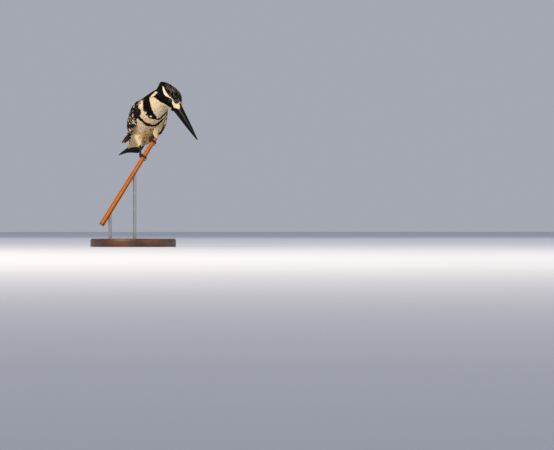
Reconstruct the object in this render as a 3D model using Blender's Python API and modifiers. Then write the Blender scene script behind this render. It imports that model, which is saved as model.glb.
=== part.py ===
"""Adult male pied kingfisher (Ceryle rudis), life size, leaning out from the top of a cut reed to look
down, on a plain stand of a round base and two rods.

The origin is the middle of the stand's underside and +Z is up. The bird's body faces -Y and +X is its
left, so every paired piece is made once for each side. Its head is turned to its left and points down.
Lengths are written in millimetres and multiplied by MM. Pieces that touch keep GAP between them.
"""

import math

import bmesh
import bpy
from mathutils import Matrix, Vector

MM = 0.001
GAP = 0.3 * MM
SIDES = {"right": -1, "left": 1}

# Stand and reed.
BASE_RADIUS = 62 * MM
BASE_THICKNESS = 12 * MM
BASE_EDGE = 1.5 * MM
ROD_RADIUS = 2.5 * MM
ROD_STATIONS = (24 * MM, 92 * MM)  # along the reed from its lower end
REED_LENGTH = 150 * MM
REED_LEAN = math.radians(33)  # from upright, its top towards the bird's left
REED_RADIUS_LOW = 4.0 * MM
REED_RADIUS_TOP = 3.1 * MM
REED_LIFT = 20 * MM  # its lower end above the base
REED_FOOT = Vector((-48 * MM, 0, BASE_THICKNESS + REED_LIFT))

# The bird's places are measured from the middle of its stance, beside the reed's top.
REED_AXIS = Vector((math.sin(REED_LEAN), 0, math.cos(REED_LEAN)))
REED_TOP = REED_FOOT + REED_LENGTH * REED_AXIS
STANCE = REED_TOP + Vector((-7.5, 7.5, -1)) * MM

# Trunk and neck: (x, y, z) of the middle of the section, half its width and half its depth.
TRUNK_STATIONS = [
    (0, 52, -6, 5, 3.5),
    (0, 44, -3.5, 10, 7),
    (0, 35, 1, 15.5, 12.5),
    (-2, 24, 8.5, 18, 18),
    (-1.2, 11, 19.5, 21.5, 22.5),
    (0, -3, 31.5, 25, 23.5),
    (0.5, -13, 41.5, 22.5, 22.8),
    (5, -22.5, 51.5, 18.2, 18.8),
    (12, -30.5, 61, 14.5, 15),
]
TRUNK_SIDES = 24

# Head: (distance behind the bill's base, half width, height above and below the bill's line).
BILL_BASE = Vector((27.8, -50.2, 42.8))
HEAD_TURN = math.radians(34)  # towards the bird's left
HEAD_DOWN = math.radians(51)
HEAD_ROLL = math.radians(0)
HEAD_STATIONS = [
    (0, 6.8, 7.6, 7.2),
    (4, 8.8, 9.8, 9.4),
    (10, 12.2, 13.2, 11.8),
    (18, 14.6, 14.4, 14),
    (28, 14.4, 13, 15),
    (37, 11.5, 9.6, 14),
    (44, 7.2, 5.4, 10.5),
    (48, 3, 1.5, 6),
]
CREST_STATIONS = [
    (12, 5, 13, -6),
    (22, 7, 13.4, -6),
    (31, 6.8, 12.2, -4),
    (39, 5.2, 9.6, -1),
    (46, 3.4, 5.2, 1.5),
    (50.5, 1.4, 0.6, 2.4),
]
HEAD_SIDES = 24

# Bill: (distance ahead of its base, half width, height of the upper half, depth of the lower half).
BILL_STATIONS = [
    (0, 6.4, 7.4, 6.4),
    (8, 5.4, 6.9, 5.7),
    (22, 4.2, 5.5, 4.6),
    (38, 2.8, 3.6, 3.1),
    (50, 1.5, 1.9, 1.7),
    (57, 0.65, 0.8, 0.7),
    (58.6, 0.3, 0.35, 0.35),
]
BILL_ARC_STEPS = 7

EYE_RADIUS = 3.6 * MM
EYE_PLACE = Vector((10.2, 12.4, 3.4)) * MM  # aside, behind and above the bill's base

# Folded wing, seen as the left one: (x, y, z) of the section's middle, half its height, half its
# thickness, how far its middle bulges out, and how far its upper edge curls in over the back.
WING_STATIONS = [
    (15, -25, 43.5, 2.5, 2, 0.5, 0),
    (16.5, -21.5, 43.5, 8, 3.6, 2, 0),
    (17, -14, 43, 13, 4.5, 3, 0.5),
    (17.5, -4, 41, 18, 5, 4.5, 1.5),
    (17.5, 6, 36, 21.5, 5.5, 5, 3),
    (17, 16, 26, 20.5, 5.2, 5.5, 5),
    (14.5, 30, 15, 16.5, 4.4, 4, 5),
    (12, 47, 7.5, 11, 3.2, 2.2, 4),
    (11, 62, 3, 7.2, 2.2, 1.2, 2.5),
    (11.6, 76, -2, 4.4, 1.4, 0.6, 1),
    (12.4, 84, -5.4, 1.7, 0.8, 0.2, 0),
]
# Its upper edge leans in by this; the left wing is held a little tighter than the right one.
WING_TILT = {"right": math.radians(15), "left": math.radians(7)}
WING_SHIFT = {"right": Vector((0, 0, 0)), "left": Vector((0.3, 2, 1)) * MM}
WING_SIDES = 16

# Tail: (y, z) of the section's middle, half its width, half its thickness.
TAIL_STATIONS = [
    (38, -1.5, 7, 2.6),
    (50, -4.6, 10, 2.4),
    (70, -9.8, 13, 1.6),
    (92, -15.6, 15.5, 1.1),
    (102, -18.4, 15.5, 0.9),
    (107, -19.8, 12.5, 0.6),
]
TAIL_ROLL = math.radians(7)  # its right side lower
TAIL_ARCH = 0.10  # fall of its edges, as a share of its half width
TAIL_SIDES = 14

# Legs: the feathered thigh from hip to ankle, and the bare shank down to the foot.
THIGHS = {
    "right": ((-13, 9, 5), (-13.4, 1, -10.5)),
    "left": ((10.5, -4, 15.5), (5, -10.5, 6.5)),
}
THIGH_RADII = (7.5, 6.6, 4.4, 2.6)
SHANK_RADIUS = 1.5 * MM
FOOT_STATIONS = {"right": 33 * MM, "left": 6.5 * MM}  # along the reed from its top
TOE_ARC = math.radians(150)
TOE_RADII = (1.6 * MM, 1.15 * MM)
PAD_RADIUS = 2.1 * MM
# Each toe: which way round the reed, how far along it the toe fans out, and its share of TOE_ARC.
TOES = {
    "inner": (-1, 2.8 * MM, 0.74),
    "middle": (-1, 0.0, 1.0),
    "outer": (-1, -2.8 * MM, 0.92),
    "hind": (1, 0.4 * MM, 0.66),
}
CLAW_LENGTH = 4.2 * MM
CLAW_RADIUS = 0.75 * MM

# Fineness of the fused body.
FUSE_VOXEL = 1.5 * MM
FUSE_SMOOTHING = 6
BODY_TRIANGLES = 2640


def clear_scene():
    for old in list(bpy.data.objects):
        bpy.data.objects.remove(old)


def collection(name):
    made = bpy.data.collections.new(name)
    bpy.context.scene.collection.children.link(made)
    return made


def material(name, colour, roughness, metallic=0.0):
    made = bpy.data.materials.new(name)
    made.use_nodes = True
    shader = made.node_tree.nodes["Principled BSDF"]
    shader.inputs["Base Color"].default_value = (*colour, 1)
    shader.inputs["Roughness"].default_value = roughness
    shader.inputs["Metallic"].default_value = metallic
    return made


def add_node(name, mesh, finish):
    """Puts a finished mesh in the part as one named object."""
    made = bpy.data.objects.new(name, mesh)
    mesh.name = name
    mesh.materials.clear()
    mesh.materials.append(finish)
    mesh.shade_smooth()
    mesh.set_sharp_from_angle(angle=math.radians(50))
    PART.objects.link(made)
    return made


def mesh_of(bm):
    bmesh.ops.recalc_face_normals(bm, faces=bm.faces[:])
    made = bpy.data.meshes.new("shape")
    bm.to_mesh(made)
    bm.free()
    return made


def evaluated(mesh, *modifiers):
    """The mesh after modifiers, each given as its type and its settings."""
    holder = bpy.data.objects.new("holder", mesh)
    bpy.context.scene.collection.objects.link(holder)
    for kind, settings in modifiers:
        modifier = holder.modifiers.new(kind, kind)
        for key, value in settings.items():
            setattr(modifier, key, value)
    bpy.context.view_layer.update()
    graph = bpy.context.evaluated_depsgraph_get()
    made = bpy.data.meshes.new_from_object(holder.evaluated_get(graph))
    bpy.data.objects.remove(holder)
    return made


def boolean(mesh, other, operation):
    cutter = bpy.data.objects.new("cutter", other)
    HELPERS.objects.link(cutter)
    made = evaluated(mesh, ("BOOLEAN", {"object": cutter, "operation": operation}))
    bpy.data.objects.remove(cutter)
    return made


def grown(mesh, distance=GAP):
    """A copy with every point moved out, so that what it cuts keeps a gap to the original."""
    return evaluated(mesh, ("DISPLACE", {"strength": distance, "mid_level": 0.0}))


def joined(*meshes):
    bm = bmesh.new()
    for mesh in meshes:
        bm.from_mesh(mesh)
    made = bpy.data.meshes.new("joined")
    bm.to_mesh(made)
    bm.free()
    return made


def eased(values, t):
    """Reads a row of values at t, between 0 and its last index, along a smooth curve through them."""
    last = len(values) - 1
    i = min(int(t), last - 1)
    f = t - i
    before = values[max(i - 1, 0)]
    here, there = values[i], values[i + 1]
    after = values[min(i + 2, last)]
    curve = 2 * here + (there - before) * f
    curve += (2 * before - 5 * here + 4 * there - after) * f**2
    curve += (3 * here - before - 3 * there + after) * f**3
    return curve / 2


def resampled(stations, steps):
    """The stations with steps - 1 smooth ones between each pair."""
    columns = list(zip(*stations))
    count = (len(stations) - 1) * steps
    return [[eased(column, k / steps) for column in columns] for k in range(count + 1)]


def loft(rings):
    """A closed mesh through rings of as many points each, with its two ends filled."""
    bm = bmesh.new()
    loops = []
    for ring in rings:
        points = [bm.verts.new(p) for p in ring]
        loops.append([bm.edges.new(pair) for pair in zip(points, points[1:] + points[:1])])
    for near, far in zip(loops, loops[1:]):
        bmesh.ops.bridge_loops(bm, edges=near + far)
    bmesh.ops.edgeloop_fill(bm, edges=loops[0])
    bmesh.ops.edgeloop_fill(bm, edges=loops[-1])
    bmesh.ops.triangulate(bm, faces=bm.faces[:])
    return mesh_of(bm)


def oval(sides, half_width, up, down):
    """Points (across, upward) of an oval that reaches further up or down."""
    for k in range(sides):
        angle = math.tau * k / sides
        height = up if math.sin(angle) > 0 else down
        yield half_width * math.cos(angle), height * math.sin(angle)


def tube(path, radii, sides=8):
    """A round tapered tube along points, with a radius for each."""
    rings = []
    for k, (place, radius) in enumerate(zip(path, radii)):
        ahead = (path[min(k + 1, len(path) - 1)] - path[max(k - 1, 0)]).normalized()
        turn = ahead.to_track_quat("Z", "Y")
        rings.append([place + turn @ Vector((x, y, 0)) for x, y in oval(sides, radius, radius, radius)])
    return loft(rings)


def kept_side(mesh, point, normal):
    """The part of a closed mesh that lies on normal's side of a plane, half a GAP clear of it, closed
    with a flat face."""
    bm = bmesh.new()
    bm.from_mesh(mesh)
    cut = bmesh.ops.bisect_plane(
        bm,
        geom=bm.verts[:] + bm.edges[:] + bm.faces[:],
        plane_co=point + normal.normalized() * GAP / 2,
        plane_no=normal,
        clear_inner=True,
    )
    rim = [g for g in cut["geom_cut"] if isinstance(g, bmesh.types.BMEdge)]
    bmesh.ops.triangle_fill(bm, edges=rim, use_beauty=True)
    return mesh_of(bm)


def head_frame():
    """Carries head places, with the bill along -Y and the crown towards +Z, into the part."""
    turn = Matrix.Rotation(HEAD_TURN, 4, "Z")
    down = Matrix.Rotation(HEAD_DOWN, 4, "X")
    roll = Matrix.Rotation(HEAD_ROLL, 4, "Y")
    return Matrix.Translation(STANCE + BILL_BASE * MM) @ turn @ down @ roll


def trunk_form():
    rows = resampled(TRUNK_STATIONS, 3)
    places = [STANCE + Vector(row[:3]) * MM for row in rows]
    rings = []
    for k, row in enumerate(rows):
        ahead = (places[min(k + 1, len(rows) - 1)] - places[max(k - 1, 0)]).normalized()
        left = Vector((0, 0, 1)).cross(ahead).normalized()
        dorsal = ahead.cross(left)
        half_width, half_depth = row[3] * MM, row[4] * MM
        outline = oval(TRUNK_SIDES, half_width, half_depth, half_depth)
        rings.append([places[k] + left * x + dorsal * z for x, z in outline])
    return loft(rings)


def head_form(stations):
    rings = []
    for back, half_width, up, down in resampled(stations, 3):
        middle = Vector((0, back, (up - down) / 2)) * MM
        half = (up + down) / 2 * MM
        outline = oval(HEAD_SIDES, half_width * MM, half, half)
        rings.append([HEAD_FRAME @ (middle + Vector((x, 0, z))) for x, z in outline])
    return loft(rings)


def fused_body():
    """Trunk, neck, head and crest as one smooth closed form, before it is parted."""
    forms = joined(trunk_form(), head_form(HEAD_STATIONS), head_form(CREST_STATIONS))
    smooth = evaluated(
        forms,
        ("REMESH", {"mode": "VOXEL", "voxel_size": FUSE_VOXEL}),
        ("SMOOTH", {"factor": 0.5, "iterations": FUSE_SMOOTHING}),
    )
    bm = bmesh.new()
    bm.from_mesh(smooth)
    bmesh.ops.triangulate(bm, faces=bm.faces[:])
    ratio = BODY_TRIANGLES / len(bm.faces)
    bm.to_mesh(smooth)
    bm.free()
    return evaluated(smooth, ("DECIMATE", {"ratio": ratio}))


def ball(place, radius, segments=14):
    bm = bmesh.new()
    bmesh.ops.create_uvsphere(bm, u_segments=segments, v_segments=segments // 2, radius=radius)
    bmesh.ops.translate(bm, verts=bm.verts[:], vec=place)
    return mesh_of(bm)


def eye_place(side):
    return HEAD_FRAME @ Vector((EYE_PLACE.x * side, EYE_PLACE.y, EYE_PLACE.z))


def build_body(body):
    """Parts the body into head, neck and trunk with two thin cuts, and sinks the eyes in the head."""
    throat = HEAD_FRAME @ (Vector((0, 25, -11.5)) * MM)
    head_up = HEAD_FRAME.to_3x3() @ Vector((0, -0.2, 1))
    neck_base = STANCE + Vector((0, -12, 41)) * MM
    neck_up = Vector((0.1, -0.62, 0.78))
    face = HEAD_FRAME @ Vector((0, 0.5 * GAP, 0))
    backwards = HEAD_FRAME.to_3x3() @ Vector((0, 1, 0))

    head = kept_side(body, throat, head_up)
    head = kept_side(head, face, backwards)
    for side in SIDES.values():
        head = boolean(head, ball(eye_place(side), EYE_RADIUS + GAP), "DIFFERENCE")
    add_node("head", head, FEATHER_BLACK)
    below_head = kept_side(body, throat, -head_up)
    add_node("neck", kept_side(below_head, neck_base, neck_up), FEATHER_WHITE)
    trunk = kept_side(below_head, neck_base, -neck_up)
    for side in SIDES:
        trunk = boolean(trunk, grown(thigh_form(side)), "DIFFERENCE")
    add_node("trunk", trunk, FEATHER_WHITE)
    for name, side in SIDES.items():
        add_node(f"eye_{name}", ball(eye_place(side), EYE_RADIUS), EYE_BROWN)


def build_bill():
    """Upper and lower halves, each flat where they meet, with a thin gap between them."""
    for name, column, way in (("upper", 2, 1), ("lower", 3, -1)):
        rings = []
        for row in resampled(BILL_STATIONS, 2):
            ahead, half_width, height = row[0] * MM, row[1] * MM, row[column] * MM
            arc = [math.pi * k / BILL_ARC_STEPS for k in range(BILL_ARC_STEPS + 1)]
            ring = [
                Vector((half_width * math.cos(a), -ahead, way * (GAP / 2 + height * math.sin(a) ** 0.85)))
                for a in arc
            ]
            rings.append([HEAD_FRAME @ (p - Vector((0, GAP / 2, 0))) for p in ring])
        add_node(f"bill_{name}", loft(rings), HORN_BLACK)


def wing_form(name):
    side = SIDES[name]
    rows = resampled(WING_STATIONS, 2)
    middle = STANCE + WING_SHIFT[name]
    places = [middle + Vector((row[0] * side, row[1], row[2])) * MM for row in rows]
    rings = []
    for k, row in enumerate(rows):
        half_height, half_thick, bulge, curl = (v * MM for v in row[3:])
        ahead = (places[min(k + 1, len(rows) - 1)] - places[max(k - 1, 0)]).normalized()
        upright = Vector((-side * math.sin(WING_TILT[name]), 0, math.cos(WING_TILT[name])))
        out = ahead.cross(upright).normalized() * side
        up = out.cross(ahead).normalized() * side
        ring = []
        for height, thick in oval(WING_SIDES, 1, half_thick, half_thick):
            arch = bulge * (1 - abs(height) ** 3) - curl * max(height, 0) ** 2
            ring.append(places[k] + up * height * half_height + out * (thick + arch))
        rings.append(ring)
    return loft(rings)


def tail_form():
    rings = []
    roll = Matrix.Rotation(-TAIL_ROLL, 3, "Y")
    for y, z, half_width, half_thick in resampled(TAIL_STATIONS, 2):
        ring = []
        for x, thick in oval(TAIL_SIDES, half_width, half_thick, half_thick):
            fall = TAIL_ARCH * x**2 / half_width
            ring.append(STANCE + (Vector((0, y, z)) + roll @ Vector((x, 0, thick - fall))) * MM)
        rings.append(ring)
    return loft(rings)


def build_wings_and_tail(body):
    around = grown(body)
    for name in SIDES:
        wing = boolean(wing_form(name), around, "DIFFERENCE")
        add_node(f"wing_{name}", largest_body(wing), FEATHER_BLACK)
    tail = largest_body(boolean(tail_form(), around, "DIFFERENCE"))
    add_node("tail", tail, FEATHER_BLACK)


def largest_body(mesh):
    """The biggest of the separate shells that a cut left."""
    bm = bmesh.new()
    bm.from_mesh(mesh)
    shells, seen = [], set()
    for start in bm.verts:
        if start in seen:
            continue
        shell, todo = [], [start]
        seen.add(start)
        while todo:
            vert = todo.pop()
            shell.append(vert)
            near = [e.other_vert(vert) for e in vert.link_edges]
            todo += [v for v in near if v not in seen]
            seen.update(near)
        shells.append(shell)
    keep = set(max(shells, key=len))
    bmesh.ops.delete(bm, geom=[v for v in bm.verts if v not in keep], context="VERTS")
    return mesh_of(bm)


def thigh_form(name):
    hip, ankle = (STANCE + Vector(p) * MM for p in THIGHS[name])
    count = len(THIGH_RADII) - 1
    path = [hip.lerp(ankle, k / count) for k in range(count + 1)]
    rows = resampled([(*p, r) for p, r in zip(path, THIGH_RADII)], 2)
    return tube([Vector(row[:3]) for row in rows], [row[3] * MM for row in rows], sides=12)


def reed_radius(along):
    """The reed's radius at a distance below its top."""
    return REED_RADIUS_TOP + (REED_RADIUS_LOW - REED_RADIUS_TOP) * along / REED_LENGTH


def toe_paths(name):
    """The middle of a foot's pad and, for each toe, its own middle line round the reed and its claw's."""
    below = FOOT_STATIONS[name]
    axis_point = REED_TOP - REED_AXIS * below
    upper_side = Vector((-REED_AXIS.z, 0, REED_AXIS.x))
    found = {"pad": axis_point + upper_side * (reed_radius(below) + GAP + PAD_RADIUS)}
    for toe, (way, fan, share) in TOES.items():
        reach = reed_radius(below) + 1.6 * GAP + TOE_RADII[0]
        sweep = TOE_ARC * share
        claw_sweep = CLAW_LENGTH / reach
        lines = []
        for start, end, count in ((0, sweep, 7), (sweep + GAP / reach, sweep + claw_sweep, 4)):
            line = []
            for k in range(count):
                angle = start + (end - start) * k / (count - 1)
                around = Matrix.Rotation(way * angle, 3, REED_AXIS) @ upper_side
                aside = REED_AXIS * fan * min(1, 1.6 * angle / sweep)
                line.append(axis_point + around * reach + aside)
            lines.append(line)
        found[toe] = lines
    return found


def build_legs(body):
    for name in SIDES:
        thigh = thigh_form(name)
        add_node(f"thigh_{name}", thigh, FEATHER_WHITE)
        ankle = STANCE + Vector(THIGHS[name][1]) * MM
        toes = toe_paths(name)
        pad = toes.pop("pad")
        shank = tube([ankle, pad], [SHANK_RADIUS * 1.15, SHANK_RADIUS])
        foot = boolean(shank, ball(pad, PAD_RADIUS, 10), "UNION")
        for line, _ in toes.values():
            radii = [TOE_RADII[0] + (TOE_RADII[1] - TOE_RADII[0]) * k / 6 for k in range(7)]
            foot = boolean(foot, tube(line, radii, sides=6), "UNION")
        foot = boolean(foot, grown(thigh), "DIFFERENCE")
        add_node(f"foot_{name}", foot, SCALY_SKIN)
        for toe, (_, line) in toes.items():
            radii = [CLAW_RADIUS * (1 - 0.8 * (k / 3) ** 1.5) for k in range(4)]
            add_node(f"claw_{toe}_{name}", tube(line, radii, sides=5), HORN_BLACK)


def reed_form(margin=0.0):
    ends = [REED_FOOT - REED_AXIS * margin, REED_TOP + REED_AXIS * margin]
    return tube(ends, [REED_RADIUS_LOW + margin, REED_RADIUS_TOP + margin], sides=24)


def upright_cylinder(radius, low, high, sides, edge=0.0):
    bm = bmesh.new()
    bmesh.ops.create_cone(
        bm, cap_ends=True, segments=sides, radius1=radius, radius2=radius, depth=high.z - low.z
    )
    bmesh.ops.translate(bm, verts=bm.verts[:], vec=(low + high) / 2)
    if edge:
        rims = [e for e in bm.edges if abs(e.verts[0].co.z - e.verts[1].co.z) < edge / 10]
        bmesh.ops.bevel(bm, geom=rims, offset=edge, segments=2, profile=0.5, affect="EDGES", material=-1)
    return mesh_of(bm)


def build_reed_and_stand():
    add_node("perch_reed", reed_form(), REED)
    top = Vector((0, 0, BASE_THICKNESS))
    add_node("stand_base", upright_cylinder(BASE_RADIUS, Vector(), top, 48, BASE_EDGE), STAND_WOOD)
    for number, along in enumerate(ROD_STATIONS, 1):
        head = REED_FOOT + REED_AXIS * along
        foot = Vector((head.x, head.y, BASE_THICKNESS + GAP))
        rod = upright_cylinder(ROD_RADIUS, foot, head, 18)
        rod = boolean(rod, reed_form(GAP), "DIFFERENCE")
        add_node(f"stand_rod_{number}", rod, STAND_METAL)


clear_scene()
PART = collection("pied_kingfisher")
HELPERS = collection("helpers")
FEATHER_BLACK = material("feather_black", (0.02, 0.02, 0.022), 0.6)
FEATHER_WHITE = material("feather_white", (0.82, 0.74, 0.6), 0.75)
HORN_BLACK = material("horn_black", (0.015, 0.015, 0.017), 0.3)
SCALY_SKIN = material("scaly_skin", (0.03, 0.028, 0.027), 0.5)
EYE_BROWN = material("eye_brown", (0.03, 0.015, 0.008), 0.1)
REED = material("dry_reed", (0.6, 0.27, 0.08), 0.55)
STAND_WOOD = material("stand_wood", (0.5, 0.36, 0.22), 0.45)
STAND_METAL = material("stand_metal", (0.35, 0.35, 0.35), 0.35, 1.0)
HEAD_FRAME = head_frame()

BODY = fused_body()
build_body(BODY)
build_bill()
build_wings_and_tail(joined(BODY))
build_legs(BODY)
build_reed_and_stand()
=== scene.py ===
"""The looks of a still, life-size model of a pied kingfisher on a cut reed and a display stand."""

import math

import bmesh
import bpy
import numpy as np
from mathutils import Matrix, Vector
from mathutils.bvhtree import BVHTree


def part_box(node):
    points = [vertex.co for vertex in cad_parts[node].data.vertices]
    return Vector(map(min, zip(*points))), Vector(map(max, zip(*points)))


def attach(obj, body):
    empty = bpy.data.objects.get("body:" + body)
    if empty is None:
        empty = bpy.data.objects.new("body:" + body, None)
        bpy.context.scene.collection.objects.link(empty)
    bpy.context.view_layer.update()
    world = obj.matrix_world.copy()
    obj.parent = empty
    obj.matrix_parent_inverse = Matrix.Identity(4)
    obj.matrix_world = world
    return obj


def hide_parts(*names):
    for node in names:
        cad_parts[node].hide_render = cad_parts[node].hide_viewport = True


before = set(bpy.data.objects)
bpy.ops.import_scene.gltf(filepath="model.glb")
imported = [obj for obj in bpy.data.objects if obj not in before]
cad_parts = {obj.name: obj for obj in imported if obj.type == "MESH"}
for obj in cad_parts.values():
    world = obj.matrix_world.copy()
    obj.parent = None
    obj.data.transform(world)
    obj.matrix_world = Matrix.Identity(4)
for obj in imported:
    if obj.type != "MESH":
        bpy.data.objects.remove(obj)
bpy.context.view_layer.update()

MM = 0.001

# ---------------------------------------------------------------------------------------------
# Stand base: one turned disc of dark walnut. Its rim is rounded and a shallow groove is cut round
# the top, then it is oiled and rubbed, so it has a soft sheen and shows its grain.

low, high = (np.array(corner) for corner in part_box("stand_base"))
BASE_RADIUS = float(high[0] - low[0]) / 2
BASE_THICKNESS = float(high[2])
WALNUT_DARK, WALNUT_MID, WALNUT_LIGHT = "#2A190F", "#4A2E1B", "#6B452A"


def shade(code):
    """An sRGB hex colour as linear red, green, blue and alpha."""
    parts = [int(code[k : k + 2], 16) / 255 for k in (1, 3, 5)]
    return (*(((c + 0.055) / 1.055) ** 2.4 if c > 0.04045 else c / 12.92 for c in parts), 1.0)


def wire(tree, kind, inputs=None, **settings):
    """Adds a node of that kind, sets it, and sets or links its inputs."""
    node = tree.nodes.new("ShaderNode" + kind)
    for name, value in settings.items():
        setattr(node, name, value)
    for name, value in (inputs or {}).items():
        socket = node.inputs[name]
        if isinstance(value, bpy.types.NodeSocket):
            tree.links.new(value, socket)
        else:
            socket.default_value = value
    return node


def finish_named(name, **settings):
    """A new material, its node tree and its Principled shader."""
    made = bpy.data.materials.new(name)
    made.use_nodes = True
    shader = made.node_tree.nodes["Principled BSDF"]
    for key, value in settings.items():
        shader.inputs[key.replace("_", " ")].default_value = value
    return made, made.node_tree, shader


def linked(name, data):
    """An object of that mesh, lamp or camera, at the origin of the scene."""
    made = bpy.data.objects.new(name, data)
    bpy.context.scene.collection.objects.link(made)
    return made


def dressed(name, mesh, material, smooth=True):
    """An object of that mesh in that material alone."""
    mesh.polygons.foreach_set("use_smooth", [smooth] * len(mesh.polygons))
    mesh.materials.clear()
    mesh.materials.append(material)
    return linked(name, mesh)


def mesh_of(bm, name):
    """A new mesh of that bmesh, which is freed."""
    mesh = bpy.data.meshes.new(name)
    bm.to_mesh(mesh)
    bm.free()
    return mesh


def piece_from(bm, name, material, smooth=True):
    """An object of that bmesh, with outward faces."""
    bmesh.ops.recalc_face_normals(bm, faces=bm.faces[:])
    return dressed(name, mesh_of(bm, name), material, smooth)


def spin_all(bm, steps):
    """Turns all that is in the bmesh once round the Z axis."""
    whole = {"cent": (0, 0, 0), "axis": (0, 0, 1), "angle": math.tau, "use_merge": True}
    bmesh.ops.spin(bm, geom=bm.verts[:] + bm.edges[:], steps=steps, **whole)
    bmesh.ops.remove_doubles(bm, verts=bm.verts[:], dist=1e-7)


# Oiled walnut: growth rings and fibres run along X at a few millimetres; the oil leaves it satin.
walnut, tree, shader = finish_named("oiled_walnut", Roughness=0.42)
place = wire(tree, "TexCoord").outputs["Object"]
along = wire(tree, "Mapping", {"Vector": place, "Scale": (14, 150, 150)}).outputs[0]
rings = wire(tree, "TexWave", {"Vector": along, "Scale": 0.35, "Distortion": 5.0, "Detail": 3.0})
fibre = wire(tree, "Mapping", {"Vector": place, "Scale": (60, 1600, 1600)}).outputs[0]
pores = wire(tree, "TexNoise", {"Vector": fibre, "Scale": 1.0, "Detail": 3.0})
mid_to_light = {0: rings.outputs["Fac"], 6: shade(WALNUT_MID), 7: shade(WALNUT_LIGHT)}
ground = wire(tree, "Mix", mid_to_light, data_type="RGBA").outputs[2]
pores = wire(tree, "MapRange", {"Value": pores.outputs["Fac"], "From Min": 0.52, "From Max": 0.68}).outputs[0]
grain = wire(tree, "Mix", {0: pores, 6: ground, 7: shade(WALNUT_DARK)}, data_type="RGBA").outputs[2]
tree.links.new(grain, shader.inputs["Base Color"])
relief = wire(tree, "Bump", {"Height": pores, "Strength": 0.25, "Distance": 0.0002}, invert=True).outputs[0]
tree.links.new(relief, shader.inputs["Normal"])

EDGE = 3 * MM  # radius of the rounded upper rim
BEVEL = 1 * MM  # at the lower rim
GROOVE = 1.1 * MM  # half width of the groove
GROOVE_PLACE = BASE_RADIUS - 7 * MM
RIM_STEPS, GROOVE_STEPS, BASE_STEPS = 6, 8, 96
profile = [(0, 0), (BASE_RADIUS - BEVEL, 0), (BASE_RADIUS, BEVEL), (BASE_RADIUS, BASE_THICKNESS - EDGE)]
for k in range(1, RIM_STEPS + 1):
    angle = math.pi / 2 * k / RIM_STEPS
    out, up = EDGE * math.cos(angle), EDGE * math.sin(angle)
    profile.append((BASE_RADIUS - EDGE + out, BASE_THICKNESS - EDGE + up))
for k in range(GROOVE_STEPS + 1):
    angle = math.pi * k / GROOVE_STEPS
    down = GROOVE * 0.7 * math.sin(angle)
    profile.append((GROOVE_PLACE + GROOVE * math.cos(angle), BASE_THICKNESS - down))
profile.append((0, BASE_THICKNESS))
bm = bmesh.new()
corners = [bm.verts.new((radius, 0, height)) for radius, height in profile]
for pair in zip(corners, corners[1:]):
    bm.edges.new(pair)
spin_all(bm, BASE_STEPS)
base = piece_from(bm, "stand_base_turned", walnut, smooth=False)
base.data.polygons.foreach_set("use_smooth", [abs(p.normal.z) < 0.999 for p in base.data.polygons])
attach(base, "root")
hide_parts("stand_base")

# ---------------------------------------------------------------------------------------------
# Rods: two 5 mm stainless steel rods, drawn and polished along their length, with the reed
# resting in the saddle cut in each top. They keep their solids' shape.

# Drawn stainless steel: fine bright and dull lines run up each rod.
STEEL_DARK, STEEL_LIGHT = "#A9ABAD", "#B9BBBC"
steel, tree, shader = finish_named("drawn_stainless_steel", Metallic=1.0)
place = wire(tree, "TexCoord").outputs["Object"]
drawn = wire(tree, "Mapping", {"Vector": place, "Scale": (3500, 3500, 60)}).outputs[0]
lines = wire(tree, "TexNoise", {"Vector": drawn, "Scale": 1.0, "Detail": 2.0}).outputs["Fac"]
sheen = wire(tree, "MapRange", {"Value": lines, "To Min": 0.22, "To Max": 0.38}).outputs[0]
tree.links.new(sheen, shader.inputs["Roughness"])
tone = wire(tree, "Mix", {0: lines, 6: shade(STEEL_DARK), 7: shade(STEEL_LIGHT)}, data_type="RGBA").outputs[2]
tree.links.new(tone, shader.inputs["Base Color"])
for name in ("stand_rod_1", "stand_rod_2"):
    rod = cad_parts[name]
    rod.data.materials.clear()
    rod.data.materials.append(steel)

# ---------------------------------------------------------------------------------------------
# Reed: a dry, cut length of cane grass, hollow, hard and shiny outside, tan to orange, with
# lengthwise ribs and darker weathered streaks. Both ends are cut square and hollowed 4 mm deep.

REED_TOP = Vector((33.7, 0, 157.8)) * MM
REED_FOOT = Vector((-48, 0, 32)) * MM
REED_AXIS = (REED_TOP - REED_FOOT).normalized()
REED_LENGTH = (REED_TOP - REED_FOOT).length
REED_RADII = (4.0 * MM, 3.1 * MM)  # low end, top end
WALL = 0.6  # the hollow's share of the reed's radius
HOLLOW = 4 * MM / REED_LENGTH  # how far the open ends go in, as a share of its length
RIBS = 20
RIB_HEIGHT = 0.012  # half of a rib's height, as a share of the reed's radius
MAP_LENGTH = 0.025  # metres of reed to one unit of its map

# Dry cane: tan with darker threads along it, blotted by age, and smooth on its outside.
cane, tree, shader = finish_named("dry_reed_cane", Roughness=0.45, Specular_IOR_Level=0.25)
lengthwise = wire(tree, "UVMap", uv_map="reed").outputs[0]
streaks = wire(tree, "Mapping", {"Vector": lengthwise, "Scale": (26, 2.2, 1)}).outputs[0]
broad = wire(tree, "TexNoise", {"Vector": streaks, "Scale": 0.5, "Detail": 4.0}).outputs["Fac"]
fine = wire(tree, "Mapping", {"Vector": lengthwise, "Scale": (110, 5, 1)}).outputs[0]
threads = wire(tree, "TexNoise", {"Vector": fine, "Scale": 1.0, "Detail": 3.0}).outputs["Fac"]
spots = wire(tree, "TexNoise", {"Vector": lengthwise, "Scale": 9.0, "Detail": 3.0}).outputs["Fac"]
tan = wire(tree, "Mix", {0: broad, 6: shade("#A84E00"), 7: shade("#DE8612")}, data_type="RGBA").outputs[2]
streak = {"Value": threads, "From Min": 0.48, "From Max": 0.64, "To Max": 0.8}
dark = wire(tree, "MapRange", streak).outputs[0]
lined = wire(tree, "Mix", {0: dark, 6: tan, 7: shade("#8A3F14")}, data_type="RGBA").outputs[2]
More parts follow.
